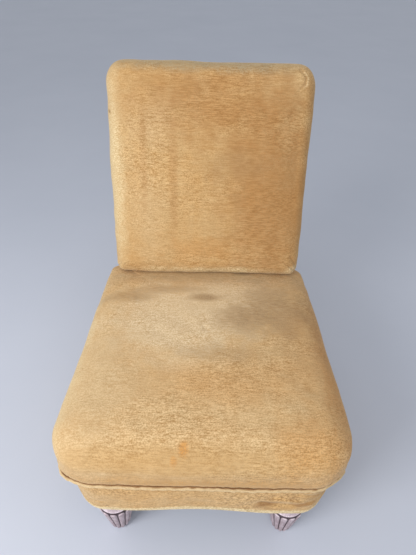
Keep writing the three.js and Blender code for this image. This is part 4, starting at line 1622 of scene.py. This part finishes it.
@dataclass
class BackPad:
    """The padded back, with a rounded face and corners folded under."""

    frame: BackFrame
    shoulder: float = 0.033
    shoulder_depth: float = 0.042
    crown: float = 0.011
    rear_edge: float = 0.005
    sewn_edge: float = 0.012
    sewn_foot: Pair = (0.006, 0.020)
    pleats: tuple[Line, ...] = (
        ((0.196, 0.500), (0.210, 0.482), (0.209, 0.466), (0.202, 0.462)),
        ((0.236, 0.012), (0.222, 0.030), (0.205, 0.040)),
        ((0.238, 0.022), (0.228, 0.044), (0.216, 0.060)),
        ((-0.238, 0.016), (-0.228, 0.034)),
    )
    pleat_depth: float = 0.0020
    pleat_width: float = 0.0026
    pleat_shade: float = 0.22
    lit_fold: Line = ((0.206, 0.492), (0.214, 0.482), (0.213, 0.467), (0.206, 0.461))
    lit_width: float = 0.0015
    lit_strength: float = 0.6
    face_fade: Pair = (0.5, 0.8)
    softness: tuple[Undulation, Undulation] = (
        Undulation(0.0011, 0.15, 12, 51),
        Undulation(0.0005, 0.045, 14, 52),
    )
    gathers: Ripple = Ripple(0.0006, 50, 100, 8, 53)
    gather_depths: Pair = (0.070, 0.090)
    columns: int = 600
    edge_rows: int = 5
    row_counts: tuple[int, int, int, int] = (14, 18, 26, 36)
    rear_pole: float = 0.06
    swelling: Swelling = Swelling(reach=0.004)

    def dome(self, x: Array, v: Array) -> Array:
        """How far the face stands out: fourth powers across and up, zero along the start of the rounding.

        Args:
            x: Places across.
            v: Places up the slope.

        Returns:
            The distance at each place.
        """
        across = np.abs(x) / (self.frame.half_width - self.shoulder)
        up = np.abs(v - self.frame.middle) / (self.frame.middle - self.shoulder)
        return self.crown * np.clip(1.0 - across**4, 0.0, 1.0) * np.clip(1.0 - up**4, 0.0, 1.0)

    def base(self) -> Skin:
        """The back before it swells: rear, side, rounding and face.

        Returns:
            The skin, its rows counted from the middle of the rear.
        """
        rear, side, rounding, face = self.row_counts
        frame = self.frame
        share = shares(self.columns)
        middle = frame.middle

        # The rear, and its edge
        angle = np.linspace(0.0, QUARTER, self.edge_rows)[:-1, None]
        x, v = frame.ring(self.rear_edge * (1.0 - np.sin(angle)), share, frame.foot_rear_corner)
        edge = frame.place(x, v, frame.thickness - self.rear_edge * (1.0 - np.cos(angle)))
        grow = np.linspace(self.rear_pole, 1.0, rear)[:-1, None]
        rear_rows = frame.place(*towards_middle(x[:1], v[:1], middle, grow), frame.thickness)

        # The sides, whose corners at the foot are tighter towards the rear
        w = np.linspace(frame.thickness - self.rear_edge, self.shoulder_depth, side)[:-1, None]
        turned = smooth_step(self.shoulder_depth, frame.thickness, w)
        corner = frame.foot_corner + (frame.foot_rear_corner - frame.foot_corner) * turned
        x, v = frame.ring(np.zeros_like(w), share, corner)
        side_rows = frame.place(x, v, w)

        # The rounding from the sides to the face
        angle = np.linspace(0.0, QUARTER, rounding)[:, None]
        x, v = frame.ring(self.shoulder * (1.0 - np.cos(angle)), share, frame.foot_corner)
        round_rows = frame.place(x, v, self.shoulder_depth * (1.0 - np.sin(angle)) - self.dome(x, v))

        # The face to its middle
        shrink = np.linspace(1.0, POLE_SHARE, face)[1:, None]
        x, v = towards_middle(x[-1:], v[-1:], middle, shrink)
        face_rows = frame.place(x, v, -self.dome(x, v))
        points = np.concatenate([rear_rows, edge, side_rows, round_rows, face_rows])
        start = frame.place(0.0, middle, frame.thickness)
        return Skin(points, start, frame.place(0.0, middle, -self.crown))

    def build(self, material: bpy.types.Material) -> bpy.types.Object:
        """Swells the back, presses its pleats in and sets it into the chair.

        Args:
            material: The back's velour.

        Returns:
            The piece.
        """
        skin = self.base()
        x, v, w = self.frame.slopes(skin.points)
        foot_v, foot_w = self.sewn_foot
        sewn = (w > self.frame.thickness - self.sewn_edge) | ((v < foot_v) & (w > foot_w))
        skin.points += self.swelling.moved(skin, np.where(sewn, 1.0, 0.0))
        near, far = self.face_fade
        front = 1.0 - smooth_step(near * self.frame.thickness, far * self.frame.thickness, w)
        folds = sum(crease(x, v, path, self.pleat_width) for path in self.pleats)
        soft = sum(wave.at(skin.points) for wave in self.softness)
        gathers = np.abs(self.gathers.at(shares(self.columns))) * smooth_step(*self.gather_depths, w)
        shift = (soft - self.pleat_depth * folds) * front - gathers
        skin.points += grid_normals(skin.points) * shift[..., None]
        # Painted shade in the pleats, and a painted highlight along one lit fold
        skin.values["seam"] = np.clip(folds * front, 0.0, 1.0) * self.pleat_shade
        skin.values["pale"] = crease(x, v, self.lit_fold, self.lit_width) * front * self.lit_strength
        pad = dressed(skin, "back_pad", material, ("back_cover", "back_stuffing"))
        return pad


@dataclass
class OutsideBack:
    """The flat cloth that closes the rear of the back, blind-stitched round its edge."""

    frame: BackFrame
    thickness: float = 0.004
    inset: float = 0.003
    stitches: int = 170
    stitch_depth: float = 0.0007
    edge_wander: Ripple = Ripple(0.0004, 12, 40, 6, 61)
    softness: Undulation = Undulation(0.0009, 0.13, 12, 62)
    columns: int = 480
    edge_rows: int = 9
    rows: int = 40

    def build(self, material: bpy.types.Material) -> bpy.types.Object:
        """A thin panel with a rounded edge that is drawn in a little between its stitches.

        Args:
            material: The panel's velour.

        Returns:
            The piece.
        """
        frame = self.frame
        share = shares(self.columns)
        stitch = self.stitch_depth * (0.5 + 0.5 * np.cos(TURN * share * self.stitches))
        stitch = stitch + self.edge_wander.at(share)
        angle = np.linspace(-QUARTER, QUARTER, self.edge_rows)[:, None]
        half = self.thickness / 2.0
        x, v = frame.ring(self.inset + stitch + half * (1.0 - np.cos(angle)), share, frame.foot_rear_corner)
        near = frame.thickness + PIECE_GAP
        edge = frame.place(x, v, near + half - half * np.sin(angle))
        grow = np.linspace(POLE_SHARE, 1.0, self.rows)[:-1, None]
        places = towards_middle(x[:1], v[:1], frame.middle, grow)
        rise = self.softness.at(frame.place(*places, 0.0)) * (1.0 - grow**6)
        outer = frame.place(*places, near + self.thickness + rise)
        inner = frame.place(*towards_middle(x[-1:], v[-1:], frame.middle, grow[::-1]), near)
        skin = Skin(
            np.concatenate([outer, edge, inner]),
            frame.place(0.0, frame.middle, near + self.thickness),
            frame.place(0.0, frame.middle, near),
        )
        panel = dressed(skin, "outside_back_panel", material, ("outside_back",))
        flat = (2.0 * (frame.half_width - self.inset), frame.height - 2.0 * self.inset)
        return panel


# Legs


@dataclass
class FrontLeg:
    """A turned, reeded leg: a collar over a groove and reeds with rounded tops, on a tapering foot.

    A bead is given by its middle and half height as shares of the collar's height, and by how far it stands
    out as a share of the collar's own reach. The neck is given by where it starts, where it is full, and its
    reach.
    """

    foot_centre: Pair
    top_z: float
    foot_z: float
    phase: float = 0.5
    splay: float = 0.0045
    top_radius: float = 0.0424
    foot_radius: float = 0.0240
    foot_ease: float = 0.0025
    foot_wear: float = 0.35
    foot_wear_height: float = 0.03
    collar_radius: float = 0.0391
    collar_height: float = 0.019
    beads: tuple[Triple, ...] = ((0.24, 0.24, 1.0), (0.66, 0.14, 0.72))
    bead_power: float = 2.6
    neck: Triple = (0.78, 0.84, 0.30)
    groove_height: float = 0.003
    groove_depth: float = 0.0055
    groove_rows: Triple = (0.05, 0.5, 1.0)
    groove_shade_stand: float = 0.25
    reeds: int = 14
    reed_depth: float = 0.0040
    reed_share: float = 0.94
    arch_height: float = 0.012
    tip_rise: Pair = (0.2, 0.8)
    tip_relief: Pair = (0.05, 0.4)
    tenon_radius: float = 0.012
    tenon_length: float = 0.046
    raw_fade: float = 0.001
    columns: int = 308
    coarse_share: float = 0.8
    coarse_rows: int = 29
    fine_rows: int = 26
    collar_rows: int = 33

    def groove_radius(self) -> float:
        """Radius at the bottom of the groove between collar and reeds."""
        return self.top_radius - self.groove_depth

    def reed_top(self) -> float:
        """Height at which the reeds end."""
        return self.top_z - self.collar_height - self.groove_height

    def collar(self, up: Array) -> Array:
        """How far the collar stands out, 0 to 1: a round bead, a crease, a smaller bead and a neck.

        Args:
            up: Place up the collar, 0 to 1.

        Returns:
            The share of the collar's reach at each place.
        """
        start, full, reach = self.neck
        shapes = [reach * smooth_step(start, full, up)]
        for middle, half, tall in self.beads:
            round_off = np.abs((up - middle) / half) ** self.bead_power
            shapes.append(tall * np.sqrt(np.clip(1.0 - round_off, 0.0, 1.0)))
        return np.maximum.reduce(shapes)

    def profile(self) -> tuple[Array, Array, Array]:
        """Height, radius and reed share of each row, from the foot to the end of the tenon.

        Returns:
            Height and radius of each row, and 1 where it is reeded or 0 where it isn't.
        """
        coarse = np.linspace(0.0, self.coarse_share, self.coarse_rows + 1)[:-1]
        reach = np.concatenate([coarse, np.linspace(self.coarse_share, 1.0, self.fine_rows)])
        height = self.foot_z + (self.reed_top() - self.foot_z) * reach
        radius = self.foot_radius + (self.top_radius - self.foot_radius) * reach
        eased = np.clip(1.0 - (height - self.foot_z) / self.foot_ease, 0.0, 1.0)
        radius = radius - self.foot_ease * eased**2
        groove = np.full(len(self.groove_rows), self.groove_radius())
        groove_z = self.reed_top() + self.groove_height * np.array(self.groove_rows)
        up = np.linspace(0.0, 1.0, self.collar_rows)
        bead_radius = groove[0] + (self.collar_radius - groove[0]) * self.collar(up)
        bead_z = self.top_z - self.collar_height * (1.0 - up)
        tenon = np.full(2, self.tenon_radius)
        tenon_z = np.array([self.top_z, self.top_z + self.tenon_length])
        heights = np.concatenate([height, groove_z, bead_z, tenon_z])
        radii = np.concatenate([radius, groove, bead_radius, tenon])
        reeded = (np.arange(heights.size) < height.size).astype(float)
        return heights, radii, reeded

    def skin(self) -> Skin:
        """The right-hand leg.

        A reed's section is half an ellipse, and its top is a quarter of an ellipsoid like a fingertip: the
        root of 1 - across^2 - rise^2. The recess behind the reeds shows between their tops.

        Returns:
            The skin, with how hollow, how proud and how raw each point is.
        """
        height, radius, reeded = (part[:, None] for part in self.profile())
        angle = TURN * shares(self.columns)
        across = (angle * self.reeds / TURN + self.phase) % 1.0 * 2.0 - 1.0
        rise = np.clip((height - (self.reed_top() - self.arch_height)) / self.arch_height, 0.0, 1.0)
        relief = np.sqrt(np.clip(1.0 - (across / self.reed_share) ** 2 - rise**2, 0.0, 1.0)) * reeded
        kept = smooth_step(0.0, self.foot_wear_height, height - self.foot_z)
        depth = self.reed_depth * (1.0 - self.foot_wear * (1.0 - kept)) * reeded
        r = radius - depth * (1.0 - relief)
        lean = self.splay * np.clip(height / self.top_z, 0.0, 1.0)
        foot_x, foot_y = self.foot_centre
        points = joined(foot_x - lean + r * np.cos(angle), foot_y + r * np.sin(angle), height)
        groove = self.groove_radius()
        stand = np.clip((radius - groove) / (self.collar_radius - groove), 0.0, 1.0)
        groove_shade = 1.0 - smooth_step(0.0, self.groove_shade_stand, stand)
        tip_highlight = smooth_step(*self.tip_rise, rise) * smooth_step(*self.tip_relief, relief)
        # hollow carries painted shade into the recesses between the reeds and the collar's groove; crest
        # carries a painted highlight onto the reeds' rounded tops and the collar's beads
        values = {
            "hollow": (1.0 - relief) * reeded + groove_shade * (1.0 - reeded),
            "crest": tip_highlight * reeded + (1.0 - reeded) * stand,
            "raw": smooth_step(self.top_z, self.top_z + self.raw_fade, height),
        }
        end = np.array([foot_x - self.splay, foot_y, self.top_z + self.tenon_length])
        return Skin(points, np.array([foot_x, foot_y, self.foot_z]), end, values)


@dataclass
class RearPost:
    """A rear leg and upright in one: square, raked and tapered below the seat, sloping within the back."""

    frame: BackFrame
    inner: float
    outer: float
    foot_z: float
    foot_front: float
    seat_front: float
    seat_rear: float
    seat_foot: float = 0.150
    foot_depth: float = 0.025
    upright_depth: float = 0.034
    top_inset: float = 0.024
    corner: float = 0.003
    soil: float = 0.15
    raw_from: float = 0.20
    raw_fade: float = 0.02
    stretches: tuple[tuple[float, float, int], ...] = ((0.0, 0.9, 12), (0.92, 1.08, 7), (1.1, 3.0, 24))
    columns: int = 64

    def stations(self) -> tuple[Array, Array]:
        """The front and rear edges of the post from foot to top, as y and z.

        Each edge has four corners: the foot, the seat's foot, the bend into the slope and the top. A
        stretch of rows starts and ends at a place counted in corners. Rows crowd round the seat's foot.

        Returns:
            The front edge and the rear edge.
        """
        frame = self.frame
        rear_w = frame.thickness - PIECE_GAP
        edges = (
            (self.foot_front, self.seat_front, rear_w - self.upright_depth),
            (self.foot_front + self.foot_depth, self.seat_rear, rear_w),
        )
        rows = np.concatenate([np.linspace(*stretch) for stretch in self.stretches])
        made = []
        for foot_y, seat_y, w in edges:
            bend = frame.on_slope(frame.v_at(seat_y, w), w)
            top = frame.on_slope(frame.height - self.top_inset, w)
            corners = np.array([(foot_y, self.foot_z), (seat_y, self.seat_foot), bend, top])
            made.append(np.stack([np.interp(rows, np.arange(4), corners[:, axis]) for axis in (0, 1)], -1))
        return made[0], made[1]

    def skin(self) -> Skin:
        """The right-hand post: a square section with rounded corners carried up the stations.

        Returns:
            The skin, with how soiled and how raw each point is.
        """
        front, rear = self.stations()
        middle, half = (self.inner + self.outer) / 2.0, (self.outer - self.inner) / 2.0
        depth = np.linalg.norm(rear - front, axis=1)[:, None]
        breaks = stretch_breaks(half, self.upright_depth, self.corner, self.corner)
        share = shares(self.columns)
        across, along = rounded_rectangle(share, half, 0.0 * depth, depth, self.corner, self.corner, breaks)
        step = along / depth
        y = front[:, :1] + (rear[:, :1] - front[:, :1]) * step
        z = front[:, 1:] + (rear[:, 1:] - front[:, 1:]) * step
        ends = [np.array([middle, *((front[row] + rear[row]) / 2.0)]) for row in (0, -1)]
        raw = smooth_step(self.raw_from, self.raw_from + self.raw_fade, z)
        return Skin(joined(middle + across, y, z), *ends, {"hollow": np.array([[self.soil]]), "raw": raw})


@dataclass
class Glide:
    """A domed nickel floor glide under a foot."""

    centre: Pair
    height: float
    radius: float = 0.010
    dome: float = 0.0012
    top_inset: float = 0.0002
    dome_rows: int = 8
    columns: int = 40

    def skin(self) -> Skin:
        """A disc whose lower edge is a quarter of an ellipse.

        Returns:
            The skin.
        """
        turn = np.linspace(0.0, QUARTER, self.dome_rows)
        lower = self.radius - self.dome * (1.0 - np.sin(turn))
        radius = np.concatenate([lower, [self.radius - self.top_inset]])[:, None]
        height = np.concatenate([self.dome * (1.0 - np.cos(turn)), [self.height]])[:, None]
        angle = TURN * shares(self.columns)
        x, y = self.centre
        points = joined(x + radius * np.cos(angle), y + radius * np.sin(angle), height)
        return Skin(points, np.array([x, y, 0.0]), np.array([x, y, self.height]))


@dataclass
class DustCover:
    """Black cloth tacked under the frame, cut round the legs and drawn up to the front arch."""

    plan: SeatPlan
    arch: Arch
    foot: float
    keep_clear: tuple[Triple, ...]
    thickness: float = 0.0012
    inset: float = 0.030
    lift_share: float = 0.75
    sag: float = 0.002
    softness: Undulation = Undulation(0.0006, 0.12, 10, 71)
    columns: int = 400
    rows: int = 40

    def outline(self) -> tuple[Array, Array]:
        """The cut edge: the seat's outline, drawn in to the near side of a circle round each leg.

        Returns:
            x and y.
        """
        x, y = (part[0] for part in self.plan.ring(np.array([[self.inset]]), shares(self.columns)))
        middle_y = self.plan.middle
        reach = np.hypot(x, y - middle_y)
        turn = np.arctan2(y - middle_y, x)
        for leg_x, leg_y, leg_radius in self.keep_clear:
            far = math.hypot(leg_x, leg_y - middle_y)
            off = turn - math.atan2(leg_y - middle_y, leg_x)
            inside = leg_radius**2 - (far * np.sin(off)) ** 2
            near = far * np.cos(off) - np.sqrt(np.maximum(inside, 0.0))
            reach = np.where((inside > 0.0) & (np.cos(off) > 0.0), np.minimum(reach, near), reach)
        return reach * np.cos(turn), middle_y + reach * np.sin(turn)

    def build(self, material: bpy.types.Material) -> bpy.types.Object:
        """A thin sheet between two faces, sagging a little in the middle.

        Args:
            material: The black cloth.

        Returns:
            The piece.
        """
        edge_x, edge_y = self.outline()
        grow = np.linspace(POLE_SHARE, 1.0, self.rows)[:, None]
        x, y = towards_middle(edge_x, edge_y, self.plan.middle, grow)
        z = self.foot + self.lift_share * self.arch.lift(x, y)
        sagging = self.sag * (1.0 - grow**2) + self.softness.at(joined(x, y, z))
        low = joined(x, y, z - sagging * (1.0 - grow**4))
        high = low[::-1] + np.array([0.0, 0.0, self.thickness])
        ends = [np.array([0.0, self.plan.middle, row[:, 2].mean()]) for row in (low[0], high[-1])]
        skin = Skin(np.concatenate([low, high]), *ends)
        cover = dressed(skin, "dust_cover_cloth", material, ("dust_cover",))
        area = 0.5 * abs(float(np.sum(edge_x * np.roll(edge_y, -1) - edge_y * np.roll(edge_x, -1))))
        return cover


# Inside


class Stock(Enum):
    """What a hidden piece is made of, and which way its grain or threads lie."""

    BEECH_ACROSS = "beech_across"
    BEECH_ALONG = "beech_along"
    WEBBING = "jute_webbing"
    BACK_WEBBING = "jute_webbing_upright"
    CANVAS = "hessian"
    BACK_CANVAS = "hessian_upright"
    FIBRE = "stuffing_fibre"
    SPRING = "spring_steel"


@dataclass(frozen=True)
class Inside:
    """The hidden frame, webbing, springs and canvas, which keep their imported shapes."""

    nodes: dict[str, bpy.types.Object]
    jute_thread: float = 0.0032
    hessian_thread: float = 0.0022
    upright: Triple = (1.0, 0.0, 1.0)

    def dress(self) -> None:
        """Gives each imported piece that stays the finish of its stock."""
        jute = (linear(190, 158, 112), linear(124, 96, 62), self.jute_thread)
        hessian = (linear(196, 170, 122), linear(142, 116, 76), self.hessian_thread)
        finishes = {
            Stock.BEECH_ACROSS: PlainWood((9.0, 150.0, 150.0)),
            Stock.BEECH_ALONG: PlainWood((150.0, 9.0, 150.0)),
            Stock.WEBBING: Weave(*jute),
            Stock.BACK_WEBBING: Weave(*jute, self.upright),
            Stock.CANVAS: Weave(*hessian),
            Stock.BACK_CANVAS: Weave(*hessian, self.upright),
            Stock.FIBRE: Fibre(),
            Stock.SPRING: Metal(linear(132, 130, 126), linear(104, 84, 66), 0.38),
        }
        materials = {stock: finish.material(stock.value) for stock, finish in finishes.items()}
        for name, node in self.nodes.items():
            if not node.hide_render:
                stock = self._stock_of(name)
                node.data.materials.clear()
                node.data.materials.append(materials[stock])
                LOG.info("%s: packed shape, finish %s", name, stock.value)

    def _stock_of(self, name: str) -> Stock:
        """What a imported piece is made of, by its name.

        Args:
            name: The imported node's name.

        Returns:
            Its stock.
        """
        if "webbing" in name:
            return Stock.BACK_WEBBING if name.startswith("back") else Stock.WEBBING
        if "canvas" in name:
            return Stock.BACK_CANVAS if name.startswith("back") else Stock.CANVAS
        if "seat_spring" in name:
            return Stock.SPRING
        if "roll" in name or "stuffing" in name:
            return Stock.FIBRE
        along = "side_rail" in name or "corner_block" in name
        return Stock.BEECH_ALONG if along else Stock.BEECH_ACROSS


# Studio


@dataclass(frozen=True)
class Lamp:
    """A square soft lamp aimed at a point."""

    name: str
    place: Triple
    aim: Triple
    size: float
    power: float

    def build(self) -> None:
        """Makes the lamp."""
        data = bpy.data.lights.new(self.name, "AREA")
        data.shape = "SQUARE"
        data.size = self.size
        data.energy = self.power
        lamp = linked(self.name, data)
        lamp.location = self.place
        lamp.rotation_mode = "QUATERNION"
        lamp.rotation_quaternion = (Vector(self.aim) - Vector(self.place)).to_track_quat("-Z", "Y")


@dataclass(frozen=True)
class Studio:
    """A plain pale floor, soft light from the upper left, and the camera above the front of the seat."""

    front: float
    lamps: tuple[Lamp, ...] = (
        Lamp("key", (-1.25, -1.25, 1.50), (0.0, 0.0, 0.45), 0.8, 24.5),
        Lamp("front", (0.2, -2.6, 1.6), (0.0, 0.0, 0.35), 1.8, 17.0),
        Lamp("top", (0.0, -0.4, 3.2), (0.0, 0.0, 0.40), 2.4, 5.0),
    )
    sky: Colour = (0.93, 0.96, 1.0)
    sky_strength: float = 0.55
    floor_half: float = 14.0
    camera_ahead: float = 0.3322
    camera_height: float = 1.1036
    camera_x: float = -0.001
    pitch: float = math.radians(40.29)
    roll: float = math.radians(1.57)
    yaw: float = math.radians(0.33)
    lens: float = 27.05
    sensor: float = 36.0

    def build(self) -> None:
        """Makes the floor, the lamps, the world and the camera."""
        self._floor()
        for lamp in self.lamps:
            lamp.build()
        self._world()
        self._camera()

    def _floor(self) -> None:
        """A wide pale floor with a faint unevenness."""
        half = self.floor_half
        mesh = bpy.data.meshes.new("floor")
        corners = [(-half, -half, 0.0), (half, -half, 0.0), (half, half, 0.0), (-half, half, 0.0)]
        mesh.from_pydata(corners, [], [(0, 1, 2, 3)])
        floor = linked("floor", mesh)
        painter = Painter("pale_floor")
        cloud = painter.noise(1.3, 4.0, 0.6)
        colour = painter.mix(cloud, linear(196, 201, 214), linear(208, 212, 224))
        floor.data.materials.append(painter.finish({"Base Color": colour, "Roughness": 0.7 + cloud * 0.1}))

    def _world(self) -> None:
        """Even pale light from all round."""
        world = bpy.data.worlds.new("soft_light")
        world.use_nodes = True
        background = world.node_tree.nodes["Background"]
        background.inputs["Color"].default_value = (*self.sky, 1.0)
        background.inputs["Strength"].default_value = self.sky_strength
        bpy.context.scene.world = world

    def _camera(self) -> None:
        """The camera, from its place ahead of the seat's front edge and its three angles."""
        data = bpy.data.cameras.new("camera")
        data.lens = self.lens
        data.sensor_width = self.sensor
        camera = linked("camera", data)
        level = Vector((math.cos(self.yaw), -math.sin(self.yaw), 0.0))
        ahead = Vector((math.sin(self.yaw), math.cos(self.yaw), 0.0))
        forward = ahead * math.cos(self.pitch) + Vector((0.0, 0.0, -math.sin(self.pitch)))
        upright = level.cross(forward)
        right = level * math.cos(self.roll) + upright * math.sin(self.roll)
        up = upright * math.cos(self.roll) - level * math.sin(self.roll)
        turned = Matrix((right, up, -forward)).transposed().to_4x4()
        place = Vector((self.camera_x, self.front - self.camera_ahead, self.camera_height))
        camera.matrix_world = Matrix.Translation(place) @ turned
        bpy.context.scene.camera = camera


def middle_of(node: str) -> Pair:
    """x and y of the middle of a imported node."""
    low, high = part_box(node)
    return (low.x + high.x) / 2.0, (low.y + high.y) / 2.0


@dataclass
class SlipperChair:
    """The whole chair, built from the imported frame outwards."""

    frame: dict[str, Any]
    leg_clearance: float = 0.0445
    post_clearance: float = 0.032
    post_middle: float = 0.020
    cotton_thread: float = 0.0012

    def build(self) -> None:
        """Builds every sub-assembly in order."""
        pad_low, pad_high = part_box("seat_cover")
        band_low, band_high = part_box("seat_border")
        piping_low, piping_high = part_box("seat_piping")
        plan = SeatPlan(pad_low.y, pad_high.y - pad_low.y)
        arch = Arch(plan.front)
        seam = Seam()
        pad = SeatPad(plan, seam, pad_low.z)
        pad.build(velour(Nap.SEAT))
        SeatPiping(plan, seam, (piping_low.z + piping_high.z) / 2.0).build(velour(Nap.PIPING))
        SeatBand(plan, arch, seam, band_low.z, band_high.z).build(velour(Nap.BAND))
        BackPad(pad.back).build(velour(Nap.BACK))
        OutsideBack(pad.back).build(velour(Nap.PLAIN))
        self._legs(pad.back)
        self._dust_cover(plan, arch)
        Inside(self.frame["nodes"]).dress()

    def _legs(self, back: BackFrame) -> None:
        """Both front legs, both rear posts and their glides.

        Args:
            back: The frame of the back.
        """
        limed = LimedWood().material(Slot.LIMED_WOOD.value)
        nickel = Metal(linear(196, 194, 188), linear(150, 142, 130), 0.25).material(Slot.NICKEL.value)
        front_foot, rear_foot = middle_of("front_glide_right"), middle_of("rear_glide_right")
        leg_top, leg_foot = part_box("seat_border")[0].z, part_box("front_leg_right")[0].z
        leg, other_leg = (FrontLeg(front_foot, leg_top, leg_foot, phase).skin() for phase in (0.5, 0.0))
        post_low, post_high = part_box("rear_post_right")
        post = RearPost(
            back,
            inner=post_low.x,
            outer=post_high.x,
            foot_z=post_low.z,
            foot_front=rear_foot[1] - RearPost.foot_depth / 2.0,
            seat_front=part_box("seat_side_rail_right")[1].y + PIECE_GAP,
            seat_rear=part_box("seat_rear_rail")[1].y,
        ).skin()
        glide = Glide(front_foot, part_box("front_glide_right")[1].z).skin()
        rear_glide = Glide(rear_foot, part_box("rear_glide_right")[1].z).skin()
        pieces = {
            "front_leg": (leg, other_leg, limed, Slot.LIMED_WOOD),
            "rear_post": (post, post, limed, Slot.LIMED_WOOD),
            "front_glide": (glide, glide, nickel, Slot.NICKEL),
            "rear_glide": (rear_glide, rear_glide, nickel, Slot.NICKEL),
        }
        for name, (skin, other, material, slot) in pieces.items():
            dressed(skin, f"{name}_right_shape", material, (f"{name}_right",))
            dressed(mirrored(other), f"{name}_left_shape", material, (f"{name}_left",))

    def _dust_cover(self, plan: SeatPlan, arch: Arch) -> None:
        """The cloth under the frame, clear of both legs and posts.

        Args:
            plan: The seat from above.
            arch: The arch in front.
        """
        post_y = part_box("rear_post_right")[0].y + self.post_middle
        right = (
            (*middle_of("front_leg_right"), self.leg_clearance),
            (middle_of("rear_post_right")[0], post_y, self.post_clearance),
        )
        left = tuple((-x, y, radius) for x, y, radius in right)
        cotton = Weave(linear(38, 36, 35), linear(20, 19, 18), self.cotton_thread)
        cover = DustCover(plan, arch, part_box("dust_cover")[0].z, right + left)
        cover.build(cotton.material(Slot.BLACK_COTTON.value))


def main() -> None:
    """Dresses the chair and lights it."""
    logging.basicConfig(level=logging.INFO, format="%(name)s %(message)s")
    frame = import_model()
    bpy.context.scene.view_settings.view_transform = "Standard"
    SlipperChair(frame).build()
    Studio(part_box("seat_cover")[0].y).build()


if __name__ == "__main__":
    main()
